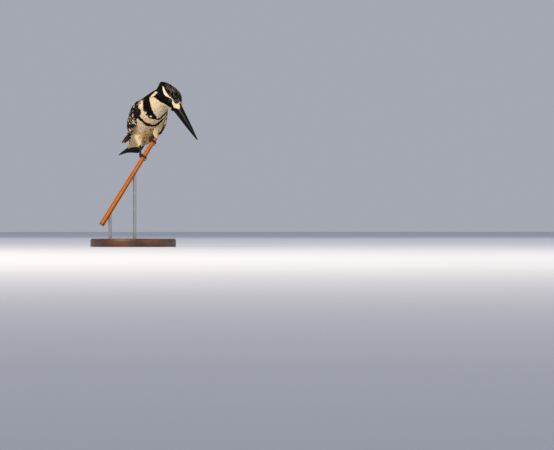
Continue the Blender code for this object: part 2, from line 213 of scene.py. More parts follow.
# Five dark lines run the length of the cane, where the strips of its old leaf sheath met.
turn = wire(tree, "SeparateXYZ", {"Vector": lengthwise}).outputs[0]
sway = wire(tree, "Math", {0: broad, 1: 0.03, 2: turn}, operation="MULTIPLY_ADD").outputs[0]
strip = wire(tree, "Math", {0: sway, 1: 0.415}, operation="ADD").outputs[0]
strip = wire(tree, "Math", {0: strip, 1: 0.1}, operation="PINGPONG").outputs[0]
line = {"Value": strip, "From Min": 0.014, "From Max": 0.034, "To Min": 0.9, "To Max": 0.0}
seam = wire(tree, "MapRange", line).outputs[0]
lined = wire(tree, "Mix", {0: seam, 6: lined, 7: shade("#4A2310")}, data_type="RGBA").outputs[2]
blot = wire(tree, "MapRange", {"Value": spots, "From Min": 0.6, "From Max": 0.75, "To Max": 0.55}).outputs[0]
aged = wire(tree, "Mix", {0: blot, 6: lined, 7: shade("#7A3D1B")}, data_type="RGBA").outputs[2]
tree.links.new(aged, shader.inputs["Base Color"])
relief = wire(tree, "Bump", {"Height": threads, "Strength": 0.5, "Distance": 0.0004}).outputs[0]
tree.links.new(relief, shader.inputs["Normal"])

# The tube is drawn on as rings, from the floor of its lower hollow out, up and into the upper one.
# A ring is its share of the reed's length and of its radius.
bm = bmesh.new()
AROUND, UP = 60, 48
first = bmesh.ops.create_circle(bm, cap_ends=False, segments=AROUND, radius=1)["verts"]
first_edges = edges = list(bm.edges)
layer = bm.loops.layers.uv.new("reed")
rings = [(HOLLOW, WALL), (0.0, WALL + 0.02)]
rings += [(k / UP, 1.0) for k in range(UP + 1)]
rings += [(1.0, WALL + 0.02), (1 - HOLLOW, WALL)]
heights = {v: rings[0] for v in first}
turns = {v: math.atan2(v.co.y, v.co.x) for v in first}
for ring in rings[1:]:
    made = bmesh.ops.extrude_edge_only(bm, edges=edges)["geom"]
    edges = [g for g in made if isinstance(g, bmesh.types.BMEdge)]
    for v in made:
        if isinstance(v, bmesh.types.BMVert):
            heights[v] = ring
            turns[v] = math.atan2(v.co.y, v.co.x)
for end in (edges, first_edges):
    bmesh.ops.edgeloop_fill(bm, edges=end)
across = Vector((0, 1, 0))
upper = REED_AXIS.cross(across).normalized()
for v, (share, wall) in heights.items():
    radius = (REED_RADII[0] + (REED_RADII[1] - REED_RADII[0]) * share) * wall
    rib = 1 - RIB_HEIGHT * (1 + math.cos(RIBS * turns[v])) * (wall == 1)
    out = across * math.cos(turns[v]) + upper * math.sin(turns[v])
    v.co = REED_FOOT + REED_AXIS * (REED_LENGTH * share) + out * radius * rib
for face in bm.faces:
    angles = [turns[loop.vert] for loop in face.loops]
    wraps = max(angles) - min(angles) > math.pi
    for loop, turn in zip(face.loops, angles):
        turn = turn + math.tau if wraps and turn < 0 else turn
        loop[layer].uv = (turn / math.tau, heights[loop.vert][0] * REED_LENGTH / MAP_LENGTH)
reed = piece_from(bm, "reed_perch", cane)
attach(reed, "root")
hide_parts("perch_reed")

# ---------------------------------------------------------------------------------------------
# Skin: one piece under all the feathers, from the bill to the vent and out over the folded
# wings. It lies inside the bird's outline by the depth of the plumage and carries its markings.

STANCE = Vector((26.2, 7.5, 156.8)) * MM  # between the hips, where the bird's own measures start
BILL_BASE = Vector((27.8, -50.2, 42.8)) * MM
HEAD_FRAME = (
    Matrix.Translation(STANCE + BILL_BASE)
    @ Matrix.Rotation(math.radians(34), 4, "Z")
    @ Matrix.Rotation(math.radians(51), 4, "X")
)
HEAD_TURN = np.array(HEAD_FRAME.to_3x3())
HEAD_AT = np.array(HEAD_FRAME.translation)
BIRD_AT = np.array(STANCE)
EYE_PLACE = (10.2, 12.4, 3.4)  # aside, behind and above the middle of the bill's base
EYE_RADIUS = 3.6
EYE_MIDDLES = {side: HEAD_FRAME @ (Vector((EYE_PLACE[0] * side, *EYE_PLACE[1:])) * MM) for side in (1, -1)}
FLESH = ("head", "neck", "trunk", "thigh_left", "thigh_right", "wing_left", "wing_right")
KINDS = np.array([name.split("_")[0] for name in FLESH])
COAT_DEPTH = {"head": 0.9, "neck": 1.5, "trunk": 1.8, "thigh": 1.2, "wing": 1.4}
SKIN_CELL = 0.85 * MM
SWELL = 0.28 * MM  # closes the gaps between the solids that the skin goes over


def bird_mm(points):
    """Places in millimetres from the hips."""
    return (points - BIRD_AT) * 1000


def head_mm(points):
    """Places in millimetres from the bill's base: left, behind and towards the crown."""
    return (points - HEAD_AT) @ HEAD_TURN * 1000


def merged(name, swell=0.0):
    """A CAD node's mesh with its corners joined and its faces moved out by swell."""
    bm = bmesh.new()
    bm.from_mesh(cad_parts[name].data)
    bmesh.ops.remove_doubles(bm, verts=bm.verts[:], dist=1e-6)
    bm.normal_update()
    shifts = [v.normal * swell for v in bm.verts]
    for v, shift in zip(bm.verts, shifts):
        v.co += shift
    return mesh_of(bm, name)


def remeshed(bm, cell):
    """The outer hull of overlapping closed shapes, as one even mesh."""
    body = linked("hull", mesh_of(bm, "hull"))
    body.modifiers.new("hull", "REMESH").voxel_size = cell
    body.modifiers["hull"].mode = "VOXEL"
    graph = bpy.context.evaluated_depsgraph_get()
    found = bpy.data.meshes.new_from_object(body.evaluated_get(graph))
    bpy.data.objects.remove(body)
    return found


def mesh_arrays(mesh):
    """Points, edges and point normals of a mesh."""
    points = np.empty(len(mesh.vertices) * 3, np.float32)
    mesh.vertices.foreach_get("co", points)
    edges = np.empty(len(mesh.edges) * 2, np.int32)
    mesh.edges.foreach_get("vertices", edges)
    normals = np.empty(len(mesh.vertices) * 3, np.float32)
    mesh.vertices.foreach_get("normal", normals)
    return points.reshape(-1, 3).astype(float), edges.reshape(-1, 2), normals.reshape(-1, 3).astype(float)


def moved(mesh, points):
    """Moves a mesh's points there and gives its points, edges and normals."""
    mesh.vertices.foreach_set("co", points.astype(np.float32).ravel())
    mesh.update()
    return mesh_arrays(mesh)


def search_tree(mesh):
    """A tree that finds the nearest face of a mesh."""
    return BVHTree.FromPolygons([v.co for v in mesh.vertices], [p.vertices for p in mesh.polygons])


def evened(values, edges, times, share=0.5):
    """Values at points, each drawn towards the mean of its neighbours."""
    count = np.bincount(edges.ravel(), minlength=len(values)).clip(1)
    for _ in range(times):
        total = np.zeros_like(values)
        for near, far in ((0, 1), (1, 0)):
            np.add.at(total, edges[:, near], values[edges[:, far]])
        mean = total / (count[:, None] if values.ndim > 1 else count)
        values = values + (mean - values) * share
    return values


bm = bmesh.new()
for name in FLESH:
    bm.from_mesh(merged(name, SWELL))
for middle in EYE_MIDDLES.values():
    ball = Matrix.Translation(middle)
    bmesh.ops.create_icosphere(bm, subdivisions=3, radius=(EYE_RADIUS + 0.1) * MM, matrix=ball)
skin_mesh = remeshed(bm, SKIN_CELL)
# Only the largest island stays: loose bits inside the body go.
bm = bmesh.new()
bm.from_mesh(skin_mesh)
bm.verts.ensure_lookup_table()
seen, largest = set(), []
for start in bm.verts:
    if start in seen:
        continue
    island, front = {start}, [start]
    while front:
        front = [e.other_vert(v) for v in front for e in v.link_edges if e.other_vert(v) not in island]
        island.update(front)
        front = list(set(front))
    seen |= island
    if len(island) > len(largest):
        largest = island
bmesh.ops.delete(bm, geom=[v for v in bm.verts if v not in largest], context="VERTS")
bm.to_mesh(skin_mesh)
bm.free()

NODE_TREES = {name: search_tree(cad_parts[name].data) for name in FLESH}


def nearest_node(points):
    """For each place, the index in FLESH of the part of the body that it belongs to."""
    best = np.full(len(points), 1.0)
    found = np.zeros(len(points), int)
    for k, name in enumerate(FLESH):
        low, high = (np.array(c) - 4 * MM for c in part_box(name))
        inside = ((points > low) & (points < high + 8 * MM)).all(axis=1)
        for i in np.nonzero(inside)[0]:
            hit = NODE_TREES[name].find_nearest(Vector(points[i]), best[i])
            if hit[0] is not None and hit[3] < best[i]:
                best[i], found[i] = hit[3], k
    return found


skin_points, skin_edges, skin_normals = mesh_arrays(skin_mesh)
skin_points, skin_edges, skin_normals = moved(skin_mesh, evened(skin_points, skin_edges, 6))
# It sinks by the depth of the coat, less towards the bill and where the body is thin.
skin_part = nearest_node(skin_points)
depth = np.array([COAT_DEPTH[kind] for kind in KINDS])[skin_part] * MM
FACE_LENGTH = 16
head_places = head_mm(skin_points)
face = (skin_part == 0) & (head_places[:, 1] < FACE_LENGTH)
depth[face] *= 0.45 + 0.55 * (head_places[face, 1].clip(0) / FACE_LENGTH)
hull_tree = search_tree(skin_mesh)
for i, (point, normal) in enumerate(zip(skin_points, skin_normals)):
    hit = hull_tree.ray_cast(Vector(point - normal * 1e-5), Vector(-normal), 12 * MM)
    if hit[0] is not None:
        depth[i] = min(depth[i], 0.33 * hit[3])
depth = evened(depth, skin_edges, 8)
skin_points = skin_points - skin_normals * depth[:, None]
# Behind each eye it is drawn in, so that the eye stands clear of it.
for middle in EYE_MIDDLES.values():
    away = skin_points - np.array(middle)
    reach = np.linalg.norm(away, axis=1)
    ball = reach < (EYE_RADIUS + 0.05) * MM
    skin_points[ball] = np.array(middle) + away[ball] * ((EYE_RADIUS - 1.0) * MM / reach[ball])[:, None]
skin_points, skin_edges, skin_normals = moved(skin_mesh, skin_points)
SKIN_TREE = search_tree(skin_mesh)
face_corners = [tuple(p.vertices)[0] for p in skin_mesh.polygons]
SMOOTH_NORMALS = evened(skin_normals, skin_edges, 3)


def on_skin(points):
    """The nearest place of the skin to each point, and the skin's normal there."""
    places, normals = np.empty_like(points), np.empty_like(points)
    for i, point in enumerate(points):
        place, _, index, _ = SKIN_TREE.find_nearest(Vector(point))
        places[i] = place
        normals[i] = SMOOTH_NORMALS[face_corners[index]]
    return places, normals / np.linalg.norm(normals, axis=1)[:, None]


WING_STATIONS = [  # aside, behind, up, half height, half thickness, bulge, curl of the upper edge
    (15, -25, 43.5, 2.5, 2, 0.5, 0), (16.5, -21.5, 43.5, 8, 3.6, 2, 0), (17, -14, 43, 13, 4.5, 3, 0.5),
    (17.5, -4, 41, 18, 5, 4.5, 1.5), (17.5, 6, 36, 21.5, 5.5, 5, 3), (17, 16, 26, 20.5, 5.2, 5.5, 5),
    (14.5, 30, 15, 16.5, 4.4, 4, 5), (12, 47, 7.5, 11, 3.2, 2.2, 4), (11, 62, 3, 7.2, 2.2, 1.2, 2.5),
    (11.6, 76, -2, 4.4, 1.4, 0.6, 1), (12.4, 84, -5.4, 1.7, 0.8, 0.2, 0),
]
WING_LENGTH = 122  # millimetres along its middle line
WING_LEAN = {"left": 7, "right": 15}
WING_SHIFT = {"left": (0.3, 2, 1), "right": (0, 0, 0)}


def wing_table(name):
    """Rows along a wing: share of its length, place, upward and outward ways, and its sizes."""
    side = 1 if name == "left" else -1
    rows = np.array(WING_STATIONS, float)
    places = rows[:, :3] * (side, 1, 1) + WING_SHIFT[name]
    run = np.linalg.norm(np.diff(places, axis=0), axis=1)
    share = np.r_[0, np.cumsum(run)] / run.sum()
    fine = np.linspace(0, 1, 81)
    places = np.stack([np.interp(fine, share, places[:, k]) for k in range(3)], axis=1)
    places = evened(places, np.c_[np.arange(80), np.arange(1, 81)], 6)
    ahead = np.gradient(places, axis=0)
    ahead /= np.linalg.norm(ahead, axis=1)[:, None]
    lean = math.radians(WING_LEAN[name])
    upright = np.array((-side * math.sin(lean), 0, math.cos(lean)))
    out = np.cross(ahead, upright) * side
    out /= np.linalg.norm(out, axis=1)[:, None]
    up = np.cross(out, ahead) * side
    sizes = np.stack([np.interp(fine, share, rows[:, k]) for k in range(3, 7)], axis=1)
    return fine, np.hstack([places, up, out, ahead, sizes])


WING_TABLES = {name: wing_table(name) for name in ("left", "right")}


# Markings, in millimetres. A stroke is a brush line over the body: places with a half width.
# Those of the head are given for its left side and mirrored.
UPPER_BAND_RIGHT = [
    (-12, -12, 63, 6.5), (-12.4, -24, 57.5, 6.0), (-13, -28.8, 50, 6.5), (-12.6, -30.2, 43.5, 6.9),
    (-10.2, -31, 37.8, 6.5), (-6, -31, 32.8, 4.9), (-0.2, -31, 29.4, 2.7),
]
UPPER_BAND_LEFT = [
    (3.8, -29.6, 26.8, 1.6), (9, -29, 28.4, 2.2), (13.4, -28.6, 33, 2.2), (19, -24, 38, 2.6),
    (24, -18, 48, 5),
]
LOWER_BAND = [
    (-23.5, -12, 36, 3.0), (-21.9, -15.8, 31.4, 2.8), (-18.3, -19, 26.4, 2.4), (-14.4, -20.8, 22.8, 2.4),
    (-10, -21.5, 19.8, 2.5), (-5.7, -22.2, 18.4, 2.4), (0.3, -22.7, 18.1, 2.3), (4.7, -23.1, 19.1, 2.3),
    (9, -24, 22, 2.3), (11.9, -24.5, 24.9, 2.1), (17, -21, 30, 1.6), (22, -15, 36, 1.6),
]
BAND_FLECKS = (
    [(-14.7, -28, 37.2, 1.3), (-13.9, -28.4, 36.6, 1.3)],
    [(-7, -31.1, 31.6, 1.3), (-6, -31.1, 31.2, 1.3)],
)
WING_EDGE_RIGHT = [
    (-22.2, -15.3, 32.2, 1.2), (-22.8, -12.1, 28.6, 1.7), (-23.7, -8.7, 24.9, 2.0), (-25, -6.5, 21.3, 1.9),
    (-25.5, -3.6, 17.7, 1.3),
]
WING_EDGE_LEFT = [
    (21.6, -18.4, 37.2, 2.0), (21.6, -15, 32.9, 2.6), (20.3, -16.6, 29.3, 2.6), (18.8, -17, 25.7, 2.4),
    (17.6, -16, 22, 2.2), (18.5, -12, 18.4, 2.2), (21, -4, 14, 2.4), (22, 4, 11, 2.0),
]
SHOULDER = [  # black over the rear ends of the white feathers beside the right wing, and mirrored
    (-17.5, 4, 55.5, 4), (-19.5, -2, 53.5, 4.8), (-22.8, -9, 50.5, 5.2), (-25.3, -15, 45, 5.6),
    (-25.4, -17, 38, 5.6),
]
# A thin line goes on down from the lower band, inside the pale edge of the left wing.
LOWER_BAND_END = [(13.7, -23.5, 25.7, 0.9), (14.2, -19.7, 21.3, 0.9), (14.5, -16.6, 18.4, 0.6)]
NAPE_PATCHES = (
    [(18.3, 35.9, -14.6, 1.7), (16.6, 36.2, -10.4, 2.7), (13.8, 37, -7.2, 1.9)],
    [(18.6, 38.8, -20.4, 1.6), (18.9, 37.6, -20, 1.5)],
)
# A black line parts the nape's patch from the cheek.
NAPE_LINE = [(18.7, 34.6, -17, 0.8), (18.3, 32.2, -12.6, 0.8), (17.4, 30, -9.8, 0.8)]
# A black patch under the bill's base, over the white chin and cheeks: painted shadow of the bill.
SHADOW_UNDER_BILL = [(6.8, 1, -1.6, 1.4), (6.6, 1.8, -4.6, 2.1), (4.2, 2, -7.6, 1.9), (2, 1.4, -8.6, 0.9)]
BROW = [
    (4.2, -1, 3.9, 2.4), (7.3, 3.3, 3.7, 2.4), (9.4, 6.8, 4.6, 1.7), (10.4, 9.2, 6.6, 0.9),
    (12, 12.5, 8.0, 0.6), (13, 17, 6.6, 0.9), (13.6, 22, 4.8, 1.9), (13.4, 27, 4.6, 1.9),
    (11.8, 32, 4.7, 1.4), (9.8, 36, 4.8, 0.9), (8.6, 39, 4.6, 0.5),
]
BROW_SPOT = [(1.2, 3.4, 9.4, 0.9), (1.8, 5, 9.6, 0.6)]
CHEEK_LINE = [  # behind, height of the mask's lower edge
    (0, -2.6), (4, -3.4), (10, -5.4), (15.3, -7.3), (20.6, -10.2), (26, -10.6), (31, -12.4), (34, -16),
    (37, -21),
]


def laid(line, turn, at, to_mm):
    """A brush line moved onto the skin, with places between its own."""
    line = np.array(line, float)
    steps = np.linspace(0, len(line) - 1, 4 * (len(line) - 1) + 1)
    fine = np.stack([np.interp(steps, range(len(line)), line[:, k]) for k in range(4)], axis=1)
    places, _ = on_skin(at + fine[:, :3] @ turn.T * MM)
    return np.c_[to_mm(places), fine[:, 3]]


def on_body(line):
    """A brush line given from the hips, on the skin."""
    return laid(line, np.eye(3), BIRD_AT, bird_mm)


def on_face(line):
    """A brush line given from the bill's base, on the skin."""
    return laid(line, HEAD_TURN, HEAD_AT, head_mm)


BANDS = [on_body(x) for x in (UPPER_BAND_RIGHT, UPPER_BAND_LEFT, LOWER_BAND)]
BAND_FLECKS = [on_body(x) for x in BAND_FLECKS]
WING_EDGES = [on_body(x) for x in (WING_EDGE_RIGHT, WING_EDGE_LEFT)]
LOWER_BAND_END = on_body(LOWER_BAND_END)
SHOULDER = np.array(SHOULDER, float)
NAPE_PATCHES = [on_face(np.array(x) * (side, 1, 1, 1)) for x in NAPE_PATCHES for side in (-1, 1)]
NAPE_LINES = [on_face(np.array(NAPE_LINE) * (side, 1, 1, 1)) for side in (-1, 1)]
SHADOW_UNDER_BILL = on_face(SHADOW_UNDER_BILL)
BROW, BROW_SPOT = on_face(BROW), on_face(BROW_SPOT)


def stroke(points, line):
    """How far each point lies outside a brush line, in millimetres; less than 0 is inside."""
    best = np.full(len(points), 99.0)
    for start, end in zip(line, line[1:]):
        run = end[:3] - start[:3]
        t = ((points - start[:3]) @ run / max(run @ run, 1e-6)).clip(0, 1)
        gap = np.linalg.norm(points - start[:3] - t[:, None] * run, axis=1)
        best = np.minimum(best, gap - (start[3] + (end[3] - start[3]) * t))
    return best


def soft(distance, blur=0.35):
    """1 inside a line, 0 outside it, and a soft edge between."""
    return 0.5 - 0.5 * np.clip(distance / blur, -1, 1)


def back_height(bird):
    """How far round towards the back each place of the trunk and neck is, from -1 to 1."""
    spine = np.array(
        [(0, 52, -6, 5), (0, 35, 1, 14), (-2, 24, 8.5, 18), (-1.2, 11, 19.5, 22), (0, -3, 31.5, 24),
         (0.5, -13, 41.5, 22.6), (5, -22.5, 51.5, 18.4), (12, -30.5, 61, 14.8)], float
    )
    run = spine[:-1, :3] - spine[1:, :3]
    best, high = np.full(len(bird), 99.0), np.zeros(len(bird))
    for k, way in enumerate(run):
        start, end = spine[k + 1], spine[k]
        t = ((bird - start[:3]) @ way / (way @ way)).clip(0, 1)
        off = bird - start[:3] - t[:, None] * way
        radius = start[3] + (end[3] - start[3]) * t
        gap = np.linalg.norm(off, axis=1) / radius
        unit = way / np.linalg.norm(way)
        top = np.array((0, 0, 1.0)) - unit * unit[2]
        top /= np.linalg.norm(top)
        nearer = gap < best
        best[nearer] = gap[nearer]
        high[nearer] = (off @ top / radius)[nearer]
    return high


def markings(points, part):
    """Black share, buff share and grey streak share of the plumage at each place of the skin."""
    bird, head = bird_mm(points), head_mm(points)
    across, behind, crown = np.abs(head[:, 0]), head[:, 1], head[:, 2]
    name = KINDS[part]
    face = name == "head"
    # Head: white throat and cheek, black mask and crown, white brow over the eye.
    cheek = np.interp(behind, *zip(*CHEEK_LINE))
    on_head = face | (name == "neck") & (behind < 46)
    black = np.where(on_head, soft(cheek - crown), 0.0)
    folded = np.c_[across, behind, crown]
    brow = np.maximum(soft(stroke(folded, BROW)), soft(stroke(folded, BROW_SPOT)))
    black = np.where(face, black * (1 - brow), black)
    # Painted shadow of the bill on the white chin.
    black = np.maximum(black, soft(stroke(folded, SHADOW_UNDER_BILL)) * face)
    grey = np.where(face, soft(8.0 - crown, 1.5) * (behind < 40), 0.0)
    # Back of the neck, mantle, back and rump: black.
    high = back_height(bird)
    body = np.isin(name, ("neck", "trunk"))
    back = soft(0.42 - high, 0.08) * body
    nape = soft(0.02 - high, 0.1) * (name == "neck") * (bird[:, 2] > 57) * (bird[:, 1] > -30)
    black = np.maximum(black, np.maximum(back, nape))
    for patch in NAPE_PATCHES:
        black = black * (1 - soft(stroke(head, patch)) * (body | face))
    for line in NAPE_LINES:
        black = np.maximum(black, soft(stroke(head, line)) * (body | face))
    # The two bands of a male across the white breast.
    for band in BANDS:
        black = np.maximum(black, soft(stroke(bird, band)) * body)
    for fleck in BAND_FLECKS:
        black = black * (1 - soft(stroke(bird, fleck)))
    # Wings: black, with pale feathers along the lower front edge.
    black = np.where(name == "wing", 1.0, black)
    black = np.maximum(black, soft(stroke(bird, LOWER_BAND_END)) * body)
    mirrored = np.c_[-np.abs(bird[:, 0]), bird[:, 1:]]
    black = np.maximum(black, soft(stroke(mirrored, SHOULDER), 0.8) * body)
    edge = [soft(stroke(bird, line), 0.6) for line in WING_EDGES]
    black = black * (1 - np.maximum(*edge))
    # Buff on the white breast, belly, flanks and vent; the extra buff low down is painted shade.
    low = np.clip((38 - bird[:, 2]) / 30, 0, 1)
    middle = np.exp(-(((bird[:, 0] - 2) / 14) ** 2))
    # On the face, more buff towards the lower throat: painted shade under the head.
    throat = 0.1 + 0.25 * np.clip((3 - crown) / 8, 0, 1)
    buff = np.where(face, throat, 0.28 + 0.1 * low + 0.72 * low * middle)
    buff = np.where(name == "thigh", 0.26, buff)
    # The pale edge of the left wing is deep orange buff: painted glow of light shining through it.
    buff = np.maximum(buff, 0.3 * edge[0] + 1.15 * edge[1])
    return black, buff * (1 - black), grey


def show_markings(mesh, points, part):
    """Stores the markings at each point of a mesh for its material."""
    layer = mesh.color_attributes.new("plumage", "FLOAT_COLOR", "POINT")
    values = np.ones((len(points), 4), np.float32)
    values[:, 0], values[:, 1], values[:, 2] = markings(points, part)
    layer.data.foreach_set("color", values.ravel())


WHITE, CREAM, BUFF, PARTED_SHADE_BROWN = "#FAECD2", "#EDD8AF", "#BD924A", "#6B552A"
BLACK, SOOT, GREY, GLOW_AND_SHADE_BROWN = "#08080A", "#161412", "#A79F90", "#5E3318"


BARB_STEP = 0.32  # millimetres; real barbs are about 0.15 apart, too fine to show


def plumage(name, barbs):
    """Feather colours from the stored markings, with fine barbs where the piece has vanes."""
    made, tree, shader = finish_named(name, Roughness=0.75, Specular_IOR_Level=0.04)
    stored = wire(tree, "Attribute", attribute_name="plumage").outputs
    marks = wire(tree, "SeparateColor", {"Color": stored["Color"]})
    place = wire(tree, "TexCoord").outputs["Object"]
    mottle = wire(tree, "TexNoise", {"Vector": place, "Scale": 260.0, "Detail": 3.0}).outputs["Fac"]
    if barbs:
        vane = wire(tree, "SeparateXYZ", {"Vector": wire(tree, "UVMap", uv_map="vane").outputs[0]})
        aside = wire(tree, "Math", {0: vane.outputs[0]}, operation="ABSOLUTE").outputs[0]
        slant = wire(tree, "Math", {0: aside, 1: -0.8, 2: vane.outputs[1]}, operation="MULTIPLY_ADD")
        count = wire(tree, "Math", {0: slant.outputs[0], 1: math.tau / BARB_STEP}, operation="MULTIPLY")
        wave = wire(tree, "Math", {0: count.outputs[0]}, operation="SINE").outputs[0]
        texture = wire(tree, "MapRange", {"Value": wave, "From Min": -1.0}).outputs[0]
    else:
        texture = wire(tree, "TexNoise", {"Vector": place, "Scale": 1400.0, "Detail": 2.0}).outputs["Fac"]
    edge = wire(tree, "Math", {0: texture, 1: 0.12, 2: -0.06}, operation="MULTIPLY_ADD").outputs[0]
    rough_edge = wire(tree, "Math", {0: marks.outputs[0], 1: edge}, operation="ADD").outputs[0]
    black = wire(tree, "MapRange", {"Value": rough_edge, "From Min": 0.36, "From Max": 0.64}).outputs[0]
    pale = wire(tree, "Mix", {0: mottle, 6: shade(WHITE), 7: shade(CREAM)}, data_type="RGBA").outputs[2]
    # Buff comes in patches of about 6 mm; the deepest turn brown: painted shade where feathers part.
    patch = wire(tree, "TexNoise", {"Vector": place, "Scale": 150.0, "Detail": 2.0}).outputs["Fac"]
    spread = {"Value": patch, "From Min": 0.3, "From Max": 0.7, "To Min": 0.5, "To Max": 1.4}
    patchy_buff_and_shade = wire(tree, "MapRange", spread)
    patchy_buff_and_shade = wire(tree, "Math", {0: patchy_buff_and_shade.outputs[0], 1: marks.outputs[1]}, operation="MULTIPLY").outputs[0]
    warm = wire(tree, "Mix", {0: patchy_buff_and_shade, 6: pale, 7: shade(BUFF)}, data_type="RGBA").outputs[2]
    deepest = {"Value": patchy_buff_and_shade, "From Min": 0.8, "From Max": 1.3, "To Max": 0.85}
    deep = wire(tree, "MapRange", deepest).outputs[0]
    warm = wire(tree, "Mix", {0: deep, 6: warm, 7: shade(PARTED_SHADE_BROWN)}, data_type="RGBA").outputs[2]
    ink = wire(tree, "Mix", {0: mottle, 6: shade(BLACK), 7: shade(SOOT)}, data_type="RGBA").outputs[2]
    # Buff turns black brown: painted glow on the wing tips and painted shade on the under tail coverts.
    ink = wire(tree, "Mix", {0: marks.outputs[1], 6: ink, 7: shade(GLOW_AND_SHADE_BROWN)}, data_type="RGBA").outputs[2]
    flecked = wire(tree, "Mix", {0: marks.outputs[2], 6: ink, 7: shade(GREY)}, data_type="RGBA").outputs[2]
    colour = wire(tree, "Mix", {0: black, 6: warm, 7: flecked}, data_type="RGBA").outputs[2]
    # Each feather is a little lighter or darker than the next.
    toned = wire(tree, "VectorMath", {0: colour, "Scale": stored["Alpha"]}, operation="SCALE").outputs[0]
    tree.links.new(toned, shader.inputs["Base Color"])
    relief = wire(tree, "Bump", {"Height": texture, "Strength": 0.3, "Distance": 0.00008}).outputs[0]
    tree.links.new(relief, shader.inputs["Normal"])
    return made


# Down over skin: matt and finely fuzzy, seen only between the feathers.
down = plumage("feather_down_on_skin", barbs=False)
skin_part = nearest_node(skin_points)
show_markings(skin_mesh, skin_points, skin_part)
skin = dressed("bird_skin", skin_mesh, down)
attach(skin, "root")
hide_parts(*FLESH)

# ---------------------------------------------------------------------------------------------
# Body feathers: separate small feathers, each a thin curved vane with a raised shaft, rooted in
# the skin and lying back over the next ones like shingles. They are finest round the eye and
# bill, narrow and loose on the crown, and broad and soft on the breast and belly.

BROOD = np.random.RandomState(7)  # the same small irregularities each time
LIE_ON_HEAD = [  # place, way the feathers point and reach, on the head's left side
    ((0, 3, 9), (0, 0.8, 0.6), 6), ((0, 20, 14), (0, 1, 0.15), 12), ((0, 40, 8), (0, 1, 0.0), 12),
    ((8, 3, 2), (0.3, 0.95, 0.1), 6), ((12, 20, 4), (0.1, 1, 0.0), 10), ((9, 8, -6), (0.25, 0.95, -0.25), 7),
    ((0, 5, -8), (0, 0.9, -0.45), 7), ((14, 28, -4), (-0.1, 1, -0.25), 9),
    ((0, 49.5, -2.5), (0, 0.3, -1), 3.5),
]
LIE_ON_BODY = [  # the same over the body; a place far out on the left is mirrored to the right
    ((2, -36, 50), (-0.1, 0.0, -1), 10), ((0, -30, 30), (0, 0.12, -1), 12),
    ((21, -18, 42), (0.1, 0.4, -0.9), 12), ((0, -14, 10), (0, 0.75, -0.66), 12),
    ((0, 5, -8), (0, 0.96, -0.28), 14), ((0, 32, -12), (0, 0.99, -0.14), 16),
    ((20, 5, 12), (0, 0.88, -0.47), 14), ((0, -14, 62), (0, 0.75, -0.66), 12),
    ((0, 4, 56), (0, 0.82, -0.57), 14), ((0, 24, 36), (0, 0.86, -0.5), 16),
    ((0, 44, 10), (0, 0.94, -0.35), 16), ((-6, -22, 62), (-0.2, 0.55, -0.8), 7),
    ((20, 40, 14), (-0.1, 0.9, -0.43), 16), ((12, 4, -4), (0, 0.35, -0.94), 8),
    ((-12, 11, -9), (0, 0.05, -1), 5),
]


def lie_table():
    """Both lists in the bird's own millimetres, with the places of the head turned with it."""
    rows = []
    for place, way, reach in LIE_ON_HEAD:
        for side in (1, -1) if place[0] else (1,):
            at = HEAD_AT + HEAD_TURN @ (np.array(place) * (side, 1, 1) * MM)
            rows.append((bird_mm(at), HEAD_TURN @ (np.array(way) * (side, 1, 1)), reach))
    for place, way, reach in LIE_ON_BODY:
        for side in (1, -1) if place[0] > 6 else (1,):
            rows.append((np.array(place) * (side, 1, 1), np.array(way) * (side, 1, 1), reach))
    return rows


LIES = lie_table()


def lie(points, normals, yaw):
    """The way the plumage lies at each place of the skin, turned a little by yaw."""
    bird = bird_mm(points)
    total = np.zeros_like(points)
    for place, way, reach in LIES:
        gap = ((bird - place) ** 2).sum(axis=1) / reach**2
        total += way * (np.exp(-gap) + 1e-3 / (1 + gap) ** 2)[:, None]
    flat = total - normals * (total * normals).sum(axis=1)[:, None]
    flat /= np.linalg.norm(flat, axis=1)[:, None]
    return flat * np.cos(yaw)[:, None] + np.cross(normals, flat) * np.sin(yaw)[:, None]


# Half widths from root to tip of each feather outline, as shares of the widest.
TIPS = {
    "round": ((0, 0.2), (0.2, 0.66), (0.45, 0.94), (0.68, 1.0), (0.86, 0.84), (0.96, 0.5), (1.0, 0.14)),
    "lance": ((0, 0.25), (0.2, 0.62), (0.42, 0.9), (0.65, 0.84), (0.84, 0.5), (0.95, 0.25), (1.0, 0.06)),
    "quill": (
        (0, 0.35), (0.1, 0.68), (0.2, 0.85), (0.32, 0.95), (0.45, 1.0), (0.6, 1.0), (0.72, 0.97),
        (0.81, 0.89), (0.88, 0.77), (0.94, 0.59), (0.98, 0.36), (1.0, 0.12),
    ),
    "blunt": (
        (0, 0.35), (0.1, 0.68), (0.2, 0.85), (0.32, 0.95), (0.45, 1.0), (0.6, 1.0), (0.75, 0.99),
        (0.88, 0.96), (0.95, 0.85), (0.98, 0.66), (0.995, 0.4), (1.0, 0.2),
    ),
}


def vane_pattern(sides, rings):
    """One feather as a closed tube: ring number, share across and upwards of each point, triangles."""
    bm = bmesh.new()
    bmesh.ops.create_circle(bm, segments=sides, radius=1)
    edges = list(bm.edges)
    bmesh.ops.edgeloop_fill(bm, edges=edges)
    for _ in range(rings - 1):
        made = bmesh.ops.extrude_edge_only(bm, edges=edges)["geom"]
        edges = [g for g in made if isinstance(g, bmesh.types.BMEdge)]
        bmesh.ops.translate(bm, verts=[g for g in made if isinstance(g, bmesh.types.BMVert)], vec=(0, 0, 1))
    bmesh.ops.edgeloop_fill(bm, edges=edges)
    bmesh.ops.triangulate(bm, faces=bm.faces[:])
    bmesh.ops.recalc_face_normals(bm, faces=bm.faces[:])
    bm.verts.ensure_lookup_table()
    points = np.array([v.co for v in bm.verts])
    faces = np.array([[v.index for v in f.verts] for f in bm.faces])
    bm.free()
    return points[:, 2].round().astype(int), points[:, 0], points[:, 1], faces


